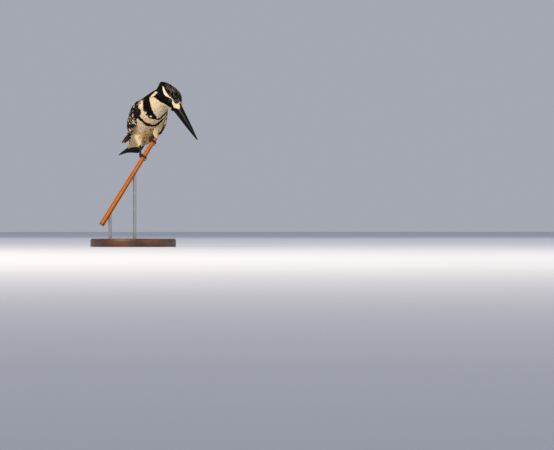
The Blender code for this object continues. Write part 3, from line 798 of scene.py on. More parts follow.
def feather_piece(name, material, shape, pattern, marks, bake_at, mirrored=False):
    """One joined mesh of many feathers.

    shape holds, for every point of every feather, the ground under it, the way out from the skin,
    the half width, the feather's length, its lift, its thickness and its camber across.
    """
    ring, across, up, faces = pattern
    ground, outward, half_width, length, lift, thick, camber = shape
    rise = lift + up * thick - camber * across**2 * half_width
    points = (ground + outward * rise[..., None]).reshape(-1, 3)
    count, size = ground.shape[:2]
    turned_faces = faces[:, ::-1] if mirrored else faces
    triangles = (turned_faces[None] + (np.arange(count) * size)[:, None, None]).reshape(-1, 3)
    mesh = bpy.data.meshes.new(name)
    mesh.vertices.add(len(points))
    mesh.vertices.foreach_set("co", points.astype(np.float32).ravel())
    mesh.loops.add(triangles.size)
    mesh.loops.foreach_set("vertex_index", triangles.astype(np.int32).ravel())
    mesh.polygons.add(len(triangles))
    mesh.polygons.foreach_set("loop_start", np.arange(0, triangles.size, 3, dtype=np.int32))
    mesh.update(calc_edges=True)
    mesh.polygons.foreach_set("use_smooth", np.ones(len(triangles), bool))
    ends = np.empty(len(mesh.edges) * 2, np.int32)
    mesh.edges.foreach_get("vertices", ends)
    rim = np.abs(across[ends.reshape(-1, 2) % size]) > 0.99
    same = across[ends[0::2] % size] * across[ends[1::2] % size] > 0
    sharp = mesh.attributes.new("sharp_edge", "BOOLEAN", "EDGE")
    sharp.data.foreach_set("value", rim.all(axis=1) & same)
    layer = mesh.color_attributes.new("plumage", "FLOAT_COLOR", "POINT")
    layer.data.foreach_set("color", marks.reshape(-1, 4).astype(np.float32).ravel())
    share = ring / ring.max()
    vane = np.stack([half_width * across, length[:, None] * share[None]], axis=-1) * 1000
    low, high = bake_at.min(axis=0), bake_at.max(axis=0)
    root = 0.004 + 0.992 * (bake_at - low) / np.maximum(high - low, 1e-6)
    patch = np.stack([across, 2 * share - 1], axis=-1) * 0.0015
    bake = root[:, None, :] + patch[None]
    for label, values in (("vane", vane), ("OFBake", bake)):
        uv = mesh.uv_layers.new(name=label)
        uv.data.foreach_set("uv", values.reshape(-1, 2)[triangles.ravel()].astype(np.float32).ravel())
    mesh.validate()
    mesh.materials.append(material)
    made = linked(name, mesh)
    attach(made, "root")
    return made


def outline(tip):
    """Shares of a feather's length and its half widths there."""
    shares, widths = zip(*TIPS[tip])
    return np.array(shares), np.array(widths)


def grown_feathers(name, roots, part, kind, sides, tip, bake_at):
    """Feathers rooted at places of the skin, traced over it along the lie of the plumage."""
    length, half_width, lift, edging, loose = kind
    shares, widths = outline(tip)
    pattern = vane_pattern(sides, len(shares))
    ring, across = pattern[:2]
    count = len(roots)
    yaw = BROOD.normal(0, 0.12, count)
    length = length * BROOD.uniform(0.86, 1.14, count)
    half_width = half_width * BROOD.uniform(0.88, 1.12, count)
    places, normals = on_skin(roots)
    centre, side, out = [], [], []
    for k, share in enumerate(shares):
        way = lie(places, normals, yaw)
        here, facing = places, normals
        if share <= 0.45:
            straight, heading, leaving = places, way, normals
        else:  # a loose tip goes straight on where the skin turns away beneath it
            straight = straight + heading * (length * (share - shares[k - 1]))[:, None]
            away = ((straight - places) * normals).sum(axis=1) > 0
            free = (loose * away * min(1, (share - 0.45) / 0.3))[:, None]
            here = places + (straight - places) * free
            facing = normals + (leaving - normals) * free
            facing = facing / np.linalg.norm(facing, axis=1)[:, None]
        centre.append(here)
        side.append(np.cross(facing, way))
        out.append(facing)
        if k + 1 < len(shares):
            places, normals = on_skin(places + way * (length * (shares[k + 1] - share))[:, None])
    middle = centre[np.searchsorted(shares, 0.7)]
    centre, side, out = (np.stack(x, axis=1)[:, ring] for x in (centre, side, out))
    wide = half_width[:, None] * widths[ring][None]
    ground = centre + side * (wide * across[None])[..., None]
    own_rise = BROOD.uniform(0.02, 0.18, count)[:, None] * MM
    rise = own_rise + lift[:, None] * (1 - (1 - shares[ring]) ** 1.6)[None]
    thick = 0.05 * MM + 0.02 * half_width[:, None] * (1 - 0.6 * shares[ring])[None]
    marks = np.ones((count, len(ring), 4))
    black, buff, grey = markings(ground.reshape(-1, 3), np.repeat(part, len(ring)))
    black, buff, grey = (x.reshape(count, -1) for x in (black, buff, grey))
    own = markings(middle, part)[0][:, None]  # a feather is mostly of one colour
    share = np.where(KINDS[part] == "head", 0.3, 0.45)[:, None]
    black = black * (1 - share) + own * share
    edging = edging * (BROOD.uniform(0, 1, count) < 0.55) * BROOD.uniform(0.4, 1.0, count)
    fringe = BROOD.uniform(0.76, 0.94, count)[:, None]
    rim = np.clip((shares[ring][None] - fringe) / 0.06, 0, 1) * edging[:, None]
    streaked = (BROOD.uniform(0, 1, count) < 0.33) * BROOD.uniform(0.3, 1, count)
    marks[..., 0] = black * (1 - rim)
    marks[..., 1] = buff * BROOD.uniform(0.6, 1.3, count)[:, None] * (1 - np.clip(2 * black - 0.5, 0, 1))
    marks[..., 2] = grey * streaked[:, None] * np.clip((np.abs(across) - 0.35) / 0.5, 0, 1)[None]
    marks[..., 3] = BROOD.uniform(0.9, 1.06, count)[:, None]
    shape = (ground, out, wide, length, rise, thick, 0.12)
    return feather_piece(name, vanes, shape, pattern, marks, bake_at)


def feather_sizes(points, part):
    """Spacing, length, half width, lift, white edging and looseness of the feathers on the skin."""
    bird, head = bird_mm(points), head_mm(points)
    across, behind, crown = np.abs(head[:, 0]), head[:, 1], head[:, 2]
    eye_gap = np.linalg.norm(np.c_[across, behind, crown] - EYE_PLACE, axis=1)
    name = KINDS[part]
    size = {
        "head": (1.05, 3.4, 0.7, 0.45), "neck": (1.1, 5.6, 0.75, 0.6), "trunk": (1.25, 8.0, 0.95, 0.85),
        "thigh": (1.0, 6.0, 0.65, 0.8), "wing": (1.7, 6.0, 1.3, 0.8),
    }
    spacing, length, half_width, lift = (np.array([size[n][k] for n in name]) for k in range(4))
    on_head = name == "head"
    fine = np.clip(1 - (behind - 2) / 12, 0, 1) * on_head
    near_eye = np.clip(1 - (eye_gap - 4.2) / 4, 0, 1) * on_head
    small = np.maximum(fine, near_eye)
    spacing, length = spacing - 0.42 * small, length - 1.6 * small
    half_width, lift = half_width - 0.28 * small, lift - 0.12 * small
    top = np.clip((crown - 6.5) / 3, 0, 1) * np.clip((behind - 3) / 8, 0, 1) * on_head
    rear = np.clip((behind - 24) / 14, 0, 1) * np.clip((crown + 4) / 6, 0, 1) * on_head
    length = length + 3.5 * top + 4.5 * rear
    spacing, half_width = spacing + 0.3 * top + 0.3 * rear, half_width + 0.1 * top + 0.3 * rear
    fore = np.clip((34 - behind) / 12, 0, 1)
    lift = lift + (0.5 + 0.9 * fore) * top - 0.1 * rear
    vaned = np.where(name == "trunk", np.clip((back_height(bird) - 0.22) / 0.15, 0, 1), 0.0)
    spacing, half_width, length = spacing + 1.0 * vaned, half_width + 1.2 * vaned, length + 1.0 * vaned
    lift = lift + 0.3 * vaned
    edging = vaned * np.clip((62 - bird[:, 2]) / 6, 0, 1)
    # Loose, longer feathers: the crest, the rump and vent, and the thighs' ends.
    stern = np.clip((bird[:, 1] - 24) / 12, 0, 1) * (name == "trunk")
    shank = np.clip((np.where(bird[:, 0] > 0, 13, 1) - bird[:, 2]) / 5, 0, 1) * (name == "thigh")
    length, half_width = length + 3 * stern + 3.5 * shank, half_width + 0.5 * stern + 0.3 * shank
    loose = np.clip(0.9 * rear + 0.5 * stern + 0.9 * shank, 0, 0.95)
    return spacing, length * MM, half_width * MM, lift * MM, edging, loose


def spread_roots():
    """Evenly scattered places on the skin, closer together where the feathers are small."""
    loops = [tuple(p.vertices) for p in skin_mesh.polygons]
    loops = np.array([loop if len(loop) == 4 else (*loop, loop[0]) for loop in loops])
    corners = skin_points[loops]
    middle = corners.mean(axis=1)
    part = skin_part[loops[:, 0]]
    spacing = feather_sizes(middle, part)[0] * MM
    area = np.array([p.area for p in skin_mesh.polygons])
    chance = area / spacing**2
    count = int(7 * chance.sum())
    picks = BROOD.choice(len(loops), count, p=chance / chance.sum())
    mix = BROOD.dirichlet((1, 1, 1, 1), count)
    places = (corners[picks] * mix[..., None]).sum(axis=1)
    gaps = spacing[picks]
    cell = 1.6 * MM
    kept, cells = [], {}

    def apart(i, other):
        off = places[other] - places[i]
        return off @ off >= min(gaps[i], gaps[other]) ** 2

    for i, place in enumerate(places):
        x, y, z = (int(c // cell) for c in place)
        reach = range(-1, 2) if gaps[i] <= cell else range(-2, 3)
        near = [(x + a, y + b, z + c) for a in reach for b in reach for c in reach]
        if all(apart(i, other) for key in near for other in cells.get(key, ())):
            kept.append(i)
            cells.setdefault((x, y, z), []).append(i)
    return places[kept], skin_part[loops[picks[kept], 0]]


roots, root_part = spread_roots()
root_places, root_normals = on_skin(roots)
root_head = head_mm(root_places)
eye_gap = np.linalg.norm(np.c_[np.abs(root_head[:, 0]), root_head[:, 1:]] - EYE_PLACE, axis=1)
clear = (eye_gap > EYE_RADIUS + 0.5) & ~((root_part == 0) & (root_head[:, 1] < 0.4))
roots, root_part, root_normals, root_head = (x[clear] for x in (roots, root_part, root_normals, root_head))
root_kind = feather_sizes(roots, root_part)[1:]
bird = bird_mm(roots)
root_high = back_height(bird)
head_turn = np.arctan2(root_head[:, 0], root_head[:, 2]) / math.tau
body_turn = np.arctan2(bird[:, 0] - 2, root_high * 20) / math.tau
# Feather vanes: matt, with fine slanting barbs; the markings are stored on each feather.
vanes = plumage("body_feather_vane", barbs=True)
crown_row = (root_part == 0) & (root_head[:, 2] > 6) & (root_head[:, 1] > 3)
groups = {
    "feathers_face": ((root_part == 0) & ~crown_row, "plumage_white", 4, "lance"),
    "feathers_crown": (crown_row, "plumage_black", 6, "lance"),
    "feathers_neck": (root_part == 1, "plumage_white", 6, "round"),
    "feathers_back": ((root_part == 2) & (root_high > 0.3), "plumage_black", 8, "round"),
    "feathers_breast_and_belly": ((root_part == 2) & (root_high <= 0.3), "plumage_white", 6, "round"),
    "feathers_thigh_left": (root_part == 3, "plumage_white", 6, "lance"),
    "feathers_thigh_right": (root_part == 4, "plumage_white", 6, "lance"),
}
for part, name in ((5, "left"), (6, "right")):
    # On a wing, only its edges and inner face: its outer face has coverts and quills of its own.
    fine, table = WING_TABLES[name]
    nearest = np.linalg.norm(bird[:, None] - table[None, :, :3], axis=2).argmin(axis=1)
    outer = (root_normals * table[nearest, 6:9]).sum(axis=1) > 0.55
    near = fine[nearest] < 0.6
    groups[f"feathers_wing_edge_{name}"] = ((root_part == part) & ~outer & near, "plumage_black", 6, "round")
for name, (chosen, slot, sides, tip) in groups.items():
    kind = tuple(x[chosen] for x in root_kind)
    if "face" in name or "crown" in name:
        bake_at = np.c_[head_turn[chosen], root_head[chosen, 1]]
    else:
        bake_at = np.c_[body_turn[chosen], bird[chosen, 2] - bird[chosen, 1]]
    piece = grown_feathers(name, roots[chosen], root_part[chosen], kind, sides, tip, bake_at)
    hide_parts(*{FLESH[k] for k in root_part[chosen]})

# ---------------------------------------------------------------------------------------------
# Trousers: a tuft of long, loose white feathers that hangs from the belly over the left shank.
# They leave the skin at their roots and end unevenly, longest in the middle of the tuft.


def hung_feathers(name, roots, tips, outward, half_width, swell, tone, bake_at, tip="round"):
    """Feathers that leave the skin at their roots and hang free down to their tips."""
    shares, widths = outline(tip)
    pattern = vane_pattern(8, len(shares))
    ring, across = pattern[:2]
    count = len(roots)
    t = shares[ring][None, :, None]
    out = outward[0][:, None] * (1 - t) + outward[1][:, None] * t
    out = out / np.linalg.norm(out, axis=-1, keepdims=True)
    run = (tips - roots)[:, None]
    side = np.cross(out, run)
    side = side / np.linalg.norm(side, axis=-1, keepdims=True)
    wide = half_width[:, None] * widths[ring][None]
    ground = roots[:, None] + run * t + out * (swell * np.sin(np.pi * t))
    ground = ground + side * (wide * across[None])[..., None]
    length = np.linalg.norm(tips - roots, axis=1)
    lift = BROOD.uniform(0, 0.3, count)[:, None] * MM
    marks = np.ones((count, len(ring), 4))
    marks[..., :3] = tone[:, None]
    fringe = BROOD.uniform(0.85, 1.1, count)[:, None]
    marks[..., 0] *= 1 - np.clip((shares[ring][None] - fringe) / 0.06, 0, 1)
    marks[..., 3] = BROOD.uniform(0.88, 1.06, count)[:, None]
    shape = (ground, out, wide, length, lift, 0.09 * MM, 0.12)
    return feather_piece(name, vanes, shape, pattern, marks, bake_at)


TUFT_HIGH, TUFT_LOW = 18, 6  # millimetres over the hips, of the first and the last row of roots
TUFT_MIDDLE = 6.8  # to the left of the hips
rows = [(x, z) for z in np.linspace(TUFT_HIGH, TUFT_LOW, 9) for x in np.linspace(2.6, 10.8, 12)]
starts = np.array([(x, -18 + 0.3 * (16 - z), z) for x, z in rows])
starts = starts + BROOD.normal(0, 0.4, starts.shape)
count = len(starts)
roots, normals = on_skin(BIRD_AT + starts * MM)
fall = BROOD.uniform(9, 12, count)
hem = 0.2 + 2.6 * ((starts[:, 0] - 7) / 4.2) ** 2 + BROOD.uniform(0, 2.4, count)
ends = np.c_[
    TUFT_MIDDLE + 0.66 * (starts[:, 0] - TUFT_MIDDLE), -14.6 + 0.12 * (starts[:, 2] - TUFT_LOW),
    np.maximum(starts[:, 2] - fall, hem),
]
front = np.tile((-0.2, -0.97, -0.1), (count, 1))
tone = np.zeros((count, 3))
tone[:, 1] = np.where(starts[:, 0] > 9, 0.7, 0.22) + BROOD.uniform(0, 0.4, count)
trousers = hung_feathers(
    "feathers_trouser_left", roots, BIRD_AT + ends * MM, (normals, front),
    BROOD.uniform(0.65, 0.95, count) * MM, 0.8 * MM, tone, starts[:, [0, 2]],
)
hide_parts("thigh_left")

# ---------------------------------------------------------------------------------------------
# Lores: small white feathers that point forward over the base of the bill, below its ridge. They
# are laid in rows across the face, the foremost row of three feathers and the last of fifteen.

LORE_ROWS = [  # tips this far behind the bill's base, from and to these degrees round it, how many
    (-5.4, 39, 45, 3), (-4.8, 35, 49, 5), (-4.1, 31, 53, 7), (-3.4, 27, 57, 9), (-2.7, 23, 60, 11),
    (-2, 20, 63, 12), (-1.3, 17, 66, 13), (-0.6, 14, 68, 14), (0.1, 11, 70, 15), (0.8, 10, 72, 15),
]
starts, ends, facing = [], [], []
for row, (forward, low, high, count) in enumerate(LORE_ROWS):
    for side in (1, -1):
        for degrees in np.linspace(low, high, count) + BROOD.normal(0, 1.4, count):
            cos, sin = math.cos(math.radians(degrees)), math.sin(math.radians(degrees))
            for rows, y in ((starts, forward + 3.2), (ends, forward + BROOD.normal(0, 0.3))):
                wide, tall = 6.4 + (0.45 if y > 0 else 0.12) * y, 7.4 + (0.35 if y > 0 else 0.06) * y
                raised = 0.1 + 0.045 * row
                rows.append((side * (wide + raised) * cos, y, (tall + raised) * sin))
            facing.append((side * cos, 0, sin))
starts, ends, facing = (np.array(x) @ HEAD_TURN.T for x in (starts, ends, facing))
tone = np.zeros((len(starts), 3))
tone[:, 1] = BROOD.uniform(0.0, 0.45, len(starts))
lores = hung_feathers(
    "feathers_lore", HEAD_AT + starts * MM, HEAD_AT + ends * MM, (facing, facing),
    BROOD.uniform(0.28, 0.42, len(starts)) * MM, 0.1 * MM, tone, ends[:, [0, 2]], tip="lance",
)
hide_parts("head")

# ---------------------------------------------------------------------------------------------
# Tail coverts: three rings of feathers close the gap between the body and the tail, black above
# and white below, painted buff grey there as shade under the body. Each ring reaches further back
# over the tail than the one before.

TAIL_STATIONS = [  # behind, up, half width, half thickness
    (38, -1.5, 7, 2.6), (50, -4.6, 10, 2.4), (70, -9.8, 13, 1.6), (92, -15.6, 15.5, 1.1),
    (102, -18.4, 15.5, 0.9), (107, -19.8, 12.5, 0.6),
]
TAIL_ROLL = math.radians(7)
TAIL_COLUMNS = [np.array(c, float) for c in zip(*TAIL_STATIONS)]
COVERT_ROWS = [(33, 53, 12.6, 5.2), (38, 60, 12.8, 3.4), (43, 67, 12.4, 1.8)]  # from, to, aside, up
COVERTS_AROUND = 44


def rolled(x, z):
    """A place across the tail, turned with the tail's roll."""
    cos, sin = math.cos(TAIL_ROLL), math.sin(TAIL_ROLL)
    return x * cos - z * sin, z * cos, x * sin


starts, ends, turns, facing = [], [], [], []
for row, (y0, y1, wide_end, high_end) in enumerate(COVERT_ROWS):
    spine, girth = 1 - 7 * (y0 - 35) / 17, 14 - 9 * (y0 - 35) / 17
    for k in range(COVERTS_AROUND):
        turn = math.tau * (k + 0.5 * (row % 2)) / COVERTS_AROUND + BROOD.normal(0, 0.04)
        x, z = wide_end * math.sin(turn), high_end * math.cos(turn)
        starts.append((girth * math.sin(turn), y0, spine + girth * math.cos(turn)))
        y = y1 + BROOD.normal(0, 1.2)
        middle = np.interp(y, TAIL_COLUMNS[0], TAIL_COLUMNS[1]) - 0.1 * x**2 / 12
        aside, up, tilt = rolled(x, z)
        ends.append((aside, y, middle + up + tilt))
        facing.append((high_end * math.sin(turn), 0.3, wide_end * math.cos(turn)))
        turns.append(turn)
starts, ends, turns, facing = (np.array(x) for x in (starts, ends, turns, facing))
roots, normals = on_skin(BIRD_AT + starts * MM)
facing = facing / np.linalg.norm(facing, axis=1)[:, None]
above = np.cos(turns)
for name, slot in (("upper", "plumage_black"), ("under", "plumage_white")):
    chosen = (above > 0.25) == (name == "upper")
    count = chosen.sum()
    tone = np.zeros((count, 3))
    # Below, white feathers get a black share and buff: painted shade under the body and tail.
    tone[:, 0] = 1 if name == "upper" else BROOD.uniform(0.37, 0.45, count)
    tone[:, 1] = 0 if name == "upper" else BROOD.uniform(0.45, 0.9, count)
    tips, outward = BIRD_AT + ends[chosen] * MM, (normals[chosen], facing[chosen])
    coverts = hung_feathers(
        f"tail_coverts_{name}", roots[chosen], tips, outward,
        np.full(count, 1.6 * MM), 0.3 * MM, tone, np.c_[turns, starts[:, 1]][chosen],
    )
    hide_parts("trunk")

# ---------------------------------------------------------------------------------------------
# Wings: each folded wing carries rows of coverts over its flight feathers, all black with white
# tips and edges. Secondaries and tertials close over the primaries, whose tips lie over the tail.


def wing_surface(name, share, aside):
    """Places on a wing's outer side, a little under its outline, and the outward way there."""
    fine, table = WING_TABLES[name]
    row = np.stack([np.interp(share, fine, table[:, k]) for k in range(table.shape[1])], axis=-1)
    place, up, out, ahead = (row[..., k : k + 3] for k in (0, 3, 6, 9))
    half, thick, bulge, curl = (row[..., k] for k in (12, 13, 14, 15))
    over = np.clip(share - 1, 0, 1) * WING_LENGTH
    v = np.clip(aside / half, -1, 1)
    rise = thick * np.sqrt(1 - v**2) + bulge * (1 - np.abs(v) ** 3) - curl * np.clip(v, 0, 1) ** 2
    rise = rise - np.minimum(1.3, 0.6 * thick)
    place = place + up * aside[..., None] + out * rise[..., None] + ahead * over[..., None]
    # The tips of the right wing stand off a little from the body.
    place[..., 0] -= (name == "right") * 3.6 * np.clip((share - 0.58) / 0.27, 0, 1) ** 1.5
    tilt = up * (v * 0.75)[..., None] + out
    return BIRD_AT + place * MM, tilt / np.linalg.norm(tilt, axis=-1)[..., None]


def wing_feathers(label, name, rows, tip, sides=8, camber=0.1):
    """Feathers of one kind on a wing.

    Each row is start share, start aside, end share, end aside, half width, low lift, high lift,
    white tip, white edge and white base.
    """
    rows = np.array(rows, float)
    shares, widths = outline(tip)
    pattern = vane_pattern(sides, len(shares))
    ring, across = pattern[:2]
    s0, a0, s1, a1, half, low, high, *white = (rows[:, k : k + 1] for k in range(10))
    tip_white, edge_white, base_white = white
    t = shares[ring][None]
    share = s0 + (s1 - s0) * t
    wide = half * widths[ring][None]
    aside = a0 + (a1 - a0) * t + wide * across[None]
    ground, outward = wing_surface(name, share, aside)
    lift = (low + (high - low) * t**1.2) * MM
    length = np.abs(s1 - s0)[:, 0] * WING_LENGTH * MM
    marks = np.ones((len(rows), len(ring), 4))
    pale = np.clip((t - (1 - tip_white)) / 0.05 + 0.5, 0, 1) * (tip_white > 0)
    edge = np.clip((np.abs(across)[None] - 0.68) / 0.3, 0, 1)
    pale = np.maximum(pale, edge * edge_white * (t > 0.4))
    pale = np.maximum(pale, np.clip((base_white - t) / 0.06 + 0.5, 0, 1) * (base_white > 0))
    marks[..., 0] = 1 - pale
    # Past 0.74 of the wing's length the black turns brown: painted glow of light through the quill tips.
    marks[..., 1] = np.where(pale > 0.5, 0.3, 0.8 * np.clip((share - 0.74) / 0.16, 0, 1))
    marks[..., 2] = 0.14 * np.clip((np.abs(across) - 0.8) / 0.2, 0, 1)[None]
    marks[..., 3] = BROOD.uniform(0.9, 1.06, len(rows))[:, None]
    thick = (0.07 + 0.05 * (1 - t)) * MM
    shape = (ground, outward, wide * MM, length, lift, thick, camber)
    bake_at = np.c_[rows[:, 0], rows[:, 1]]
    piece = feather_piece(label, vanes, shape, pattern, marks, bake_at, mirrored=name == "right")
    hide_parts(f"wing_{name}")
    return piece


def half_height(share):
    """Half the height of a folded wing at that share of its length."""
    fine, table = WING_TABLES["left"]
    return np.interp(share, fine, table[:, 12])


COVERTS_END = 0.40  # share of the wing's length that small coverts cover
PRIMARY_ENDS = (0.93, 0.97, 1.0, 0.985, 0.955, 0.92, 0.88, 0.84, 0.80)
for name in ("left", "right"):
    coverts = []
    share = 0.0
    k = 0
    while share < COVERTS_END:
        size = 5.5 + 17 * share  # feather length
        count = max(2, int(2 * half_height(share + 0.02) / (2.0 + 4.2 * share)))
        for i in range(count):
            v = -0.98 + 1.9 * (i + 0.5 * (k % 2)) / count + BROOD.normal(0, 0.02)
            aside = v * half_height(share + 0.02)
            to = share + size / WING_LENGTH
            # White fringes are commonest high on the wing, and rare on the shoulder below that.
            lower = 0.1 if share < 0.1 else 0.26 if v > -0.4 else 0.34
            fringed = BROOD.uniform() < (0.38 if v > 0.3 else lower)
            tip_white = BROOD.uniform(0.08, 0.17) if fringed else BROOD.uniform(0, 0.03)
            edge_white = BROOD.uniform(0.5, 1.0) if fringed else 0
            coverts.append((
                share + BROOD.normal(0, 0.006), aside, to + BROOD.normal(0, 0.006),
                v * half_height(to) + BROOD.normal(0, 0.3), 1.5 + 4 * share,
                0.1, 0.8 + 0.7 * share, tip_white, edge_white, 0,
            ))
        share += 0.024 + 0.03 * share
        k += 1
    for i in range(13):  # greater coverts
        v = -0.88 + 1.7 * i / 12
        coverts.append((
            0.30, v * half_height(0.30) * 0.95, 0.45 + BROOD.normal(0, 0.006),
            v * half_height(0.46) * 0.93, 2.4,
            0.5, 1.3, BROOD.uniform(0.02, 0.13), BROOD.uniform(0, 0.9), 0,
        ))
    quills = []
    for i in range(9):  # primaries, the outermost lowest
        v = -0.8 + 0.12 * i
        end = PRIMARY_ENDS[i]
        root = 0.36 - 0.006 * i
        low_end = -0.3 * half_height(end) + 0.15 * i
        quills.append((root, v * 14, end, low_end, 2.8, 0.05 * i, 0.1 + 0.08 * i, 0, 0, 0.3))
    for i in range(10):  # secondaries
        v = -0.75 + 1.3 * i / 9
        end = 0.66 + 0.012 * i + BROOD.normal(0, 0.006)
        root = 0.31 - 0.006 * i
        quills.append((
            root, v * 17, end, v * half_height(end) * 0.85, 3.0, 0.45 + 0.04 * i, 0.75 + 0.05 * i,
            BROOD.uniform(-0.02, 0.04), BROOD.uniform(0, 0.6), 0,
        ))
    for i in range(4):  # tertials
        v = 0.2 + 0.25 * i
        end = 0.60 + 0.035 * i
        root = 0.30 - 0.01 * i
        quills.append((
            root, v * 18, end, v * half_height(end) * 0.8, 3.6, 0.9 + 0.08 * i, 1.1 + 0.08 * i,
            BROOD.uniform(0.02, 0.07), 0.8, 0,
        ))
    wing_feathers(f"wing_{name}_quills", name, quills, "quill")
    wing_feathers(f"wing_{name}_coverts", name, coverts, "round")

# ---------------------------------------------------------------------------------------------
# Tail: twelve stiff feathers, the middle pair on top and the outer ones below in steps, black
# over most of their length with white at the base.

shares, widths = outline("blunt")
pattern = vane_pattern(8, len(shares))
ring, across = pattern[:2]
rows = []  # side, order, root, tip, root aside, tip aside, half width
for i in range(6):
    for side in (1, -1):
        rows.append((side, i, 36, 107.4 - 0.4 * i, 1.0 * i + 0.4, 2.45 * i + 1.2, 3.6 - 0.12 * i))
rows = np.array(rows, float)
side, order, y0, y1, x0, x1, half = (rows[:, k : k + 1] for k in range(7))
t = shares[ring][None]
behind = y0 + (y1 - y0) * t
fan = np.sin(np.clip(t * 1.15, 0, 1) * math.pi / 2)
wide = half * widths[ring][None] * (0.45 + 0.55 * t)
x = side * (x0 + (x1 - x0) * fan) + wide * across[None]
height = np.interp(behind, TAIL_COLUMNS[0], TAIL_COLUMNS[1])
spread = np.interp(behind, TAIL_COLUMNS[0], TAIL_COLUMNS[2])
z = 0.5 - 0.22 * order - 0.10 * x**2 / spread
aside, up, tilt = rolled(x, z)
place = np.stack([aside, behind, height + up + tilt], axis=-1)
marks = np.ones((len(rows), len(ring), 4))
base_white = np.clip((0.32 - t) / 0.05 + 0.5, 0, 1)
marks[..., 0] = 1 - np.maximum(base_white, np.clip((t - 0.985) / 0.02, 0, 1) * 0.6)
marks[..., 1] = 0.15 * base_white
marks[..., 2] = 0
outward = np.zeros_like(place)
outward[..., 2] = 1
shape = (BIRD_AT + place * MM, outward, wide * MM, (y1 - y0)[:, 0] * MM, 0, 0.18 * MM, 0.05)
bake_at = np.c_[side * x1, order]
tail = feather_piece("tail_feathers", vanes, shape, pattern, marks, bake_at, mirrored=True)
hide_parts("tail")

# ---------------------------------------------------------------------------------------------
# Bill: two long horn sheaths, black and slightly glossy, with a ridge along the top, a slit of a
# nostril on each side of its base and a fine line where the halves close.

BILL_STATIONS = [  # ahead, half width, height of the upper and of the lower half
    (-1.5, 6.0, 7.0, 6.0), (0, 6.4, 7.4, 6.4), (8, 5.4, 6.9, 5.7), (22, 4.2, 5.5, 4.6), (38, 2.8, 3.6, 3.1),
    (50, 1.5, 1.9, 1.7), (57, 0.65, 0.8, 0.7), (58.6, 0.3, 0.35, 0.35),
]
BILL_CUT = 0.12  # half of the gap where the halves close
RINGS_ALONG, STEPS_ROUND = 64, 24

# Horn grows forward in fine plates: faint lines run along it, and broader bands across it.
horn, tree, shader = finish_named("black_bill_horn", Roughness=0.38, Specular_IOR_Level=0.12)
run = wire(tree, "UVMap", uv_map="horn").outputs[0]
fibres = wire(tree, "Mapping", {"Vector": run, "Scale": (40, 2.5, 1)}).outputs[0]
fibres = wire(tree, "TexNoise", {"Vector": fibres, "Scale": 1.0, "Detail": 3.0}).outputs["Fac"]
bands = wire(tree, "Mapping", {"Vector": run, "Scale": (1.5, 9, 1)}).outputs[0]
bands = wire(tree, "TexNoise", {"Vector": bands, "Scale": 1.0, "Detail": 3.0}).outputs["Fac"]
tone = wire(tree, "Mix", {0: fibres, 6: shade("#030304"), 7: shade("#090A0C")}, data_type="RGBA").outputs[2]
worn = wire(tree, "MapRange", {"Value": bands, "From Min": 0.55, "From Max": 0.75, "To Max": 0.5}).outputs[0]
tone = wire(tree, "Mix", {0: worn, 6: tone, 7: shade("#121419")}, data_type="RGBA").outputs[2]
tree.links.new(tone, shader.inputs["Base Color"])
gloss = wire(tree, "MapRange", {"Value": bands, "To Min": 0.28, "To Max": 0.5}).outputs[0]
tree.links.new(gloss, shader.inputs["Roughness"])
relief = wire(tree, "Bump", {"Height": fibres, "Strength": 0.25, "Distance": 0.0001}).outputs[0]
tree.links.new(relief, shader.inputs["Normal"])


def bill_half(name, column, way):
    """A closed half of the bill, lofted from its base to its tip."""
    stations = np.array(BILL_STATIONS, float)
    bm = bmesh.new()
    layer = bm.loops.layers.uv.new("horn")
    marks, loops = {}, []
    for ahead in np.linspace(stations[0, 0], stations[-1, 0], RINGS_ALONG):
        half = np.interp(ahead, stations[:, 0], stations[:, 1])
        high = np.interp(ahead, stations[:, 0], stations[:, column])
        ring = []
        for k in range(STEPS_ROUND + 1):
            a = math.pi * k / STEPS_ROUND
            ridge = 0.28 * math.exp(-(((a - math.pi / 2) / 0.2) ** 2)) * min(1, high / 3)
            slope = min(a, math.pi - a)
            groove = 0.16 * math.exp(-(((slope - 0.62) / 0.12) ** 2)) * math.exp(-(((ahead - 12) / 14) ** 2))
            nostril = 0.7 * math.exp(-(((slope - 0.62) / 0.1) ** 2) - ((ahead - 6) / 2.4) ** 4)
            if way < 0:
                ridge, nostril, groove = ridge * 0.4, 0, groove * 0.5
            x, z = half * math.cos(a), high * math.sin(a) ** 0.85
            size = math.hypot(x, z) or 1
            shrink = (size + ridge - groove - nostril) / size
            place = Vector((x * shrink, -ahead, way * (BILL_CUT + z * shrink)))
            v = bm.verts.new(HEAD_FRAME @ (place * MM))
            marks[v] = (a * half * 0.2, ahead * 0.2)
            ring.append(v)
        loops.append([bm.edges.new(pair) for pair in zip(ring, ring[1:] + ring[:1])])
    for near, far in zip(loops, loops[1:]):
        bmesh.ops.bridge_loops(bm, edges=near + far)
    bmesh.ops.edgeloop_fill(bm, edges=loops[0])
    bmesh.ops.edgeloop_fill(bm, edges=loops[-1])
    for face in bm.faces:
        for loop in face.loops:
            loop[layer].uv = marks[loop.vert]
    piece = piece_from(bm, f"bill_{name}_horn", horn)
    piece.data.set_sharp_from_angle(angle=math.radians(50))
    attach(piece, "root")
    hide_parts(f"bill_{name}")


bill_half("upper", 2, 1)
bill_half("lower", 3, -1)

# ---------------------------------------------------------------------------------------------
# Eyes: domed glass eyes with a very dark brown iris and a round pupil, set deep in the mask and
# held by a thin dark rim of bare lid.

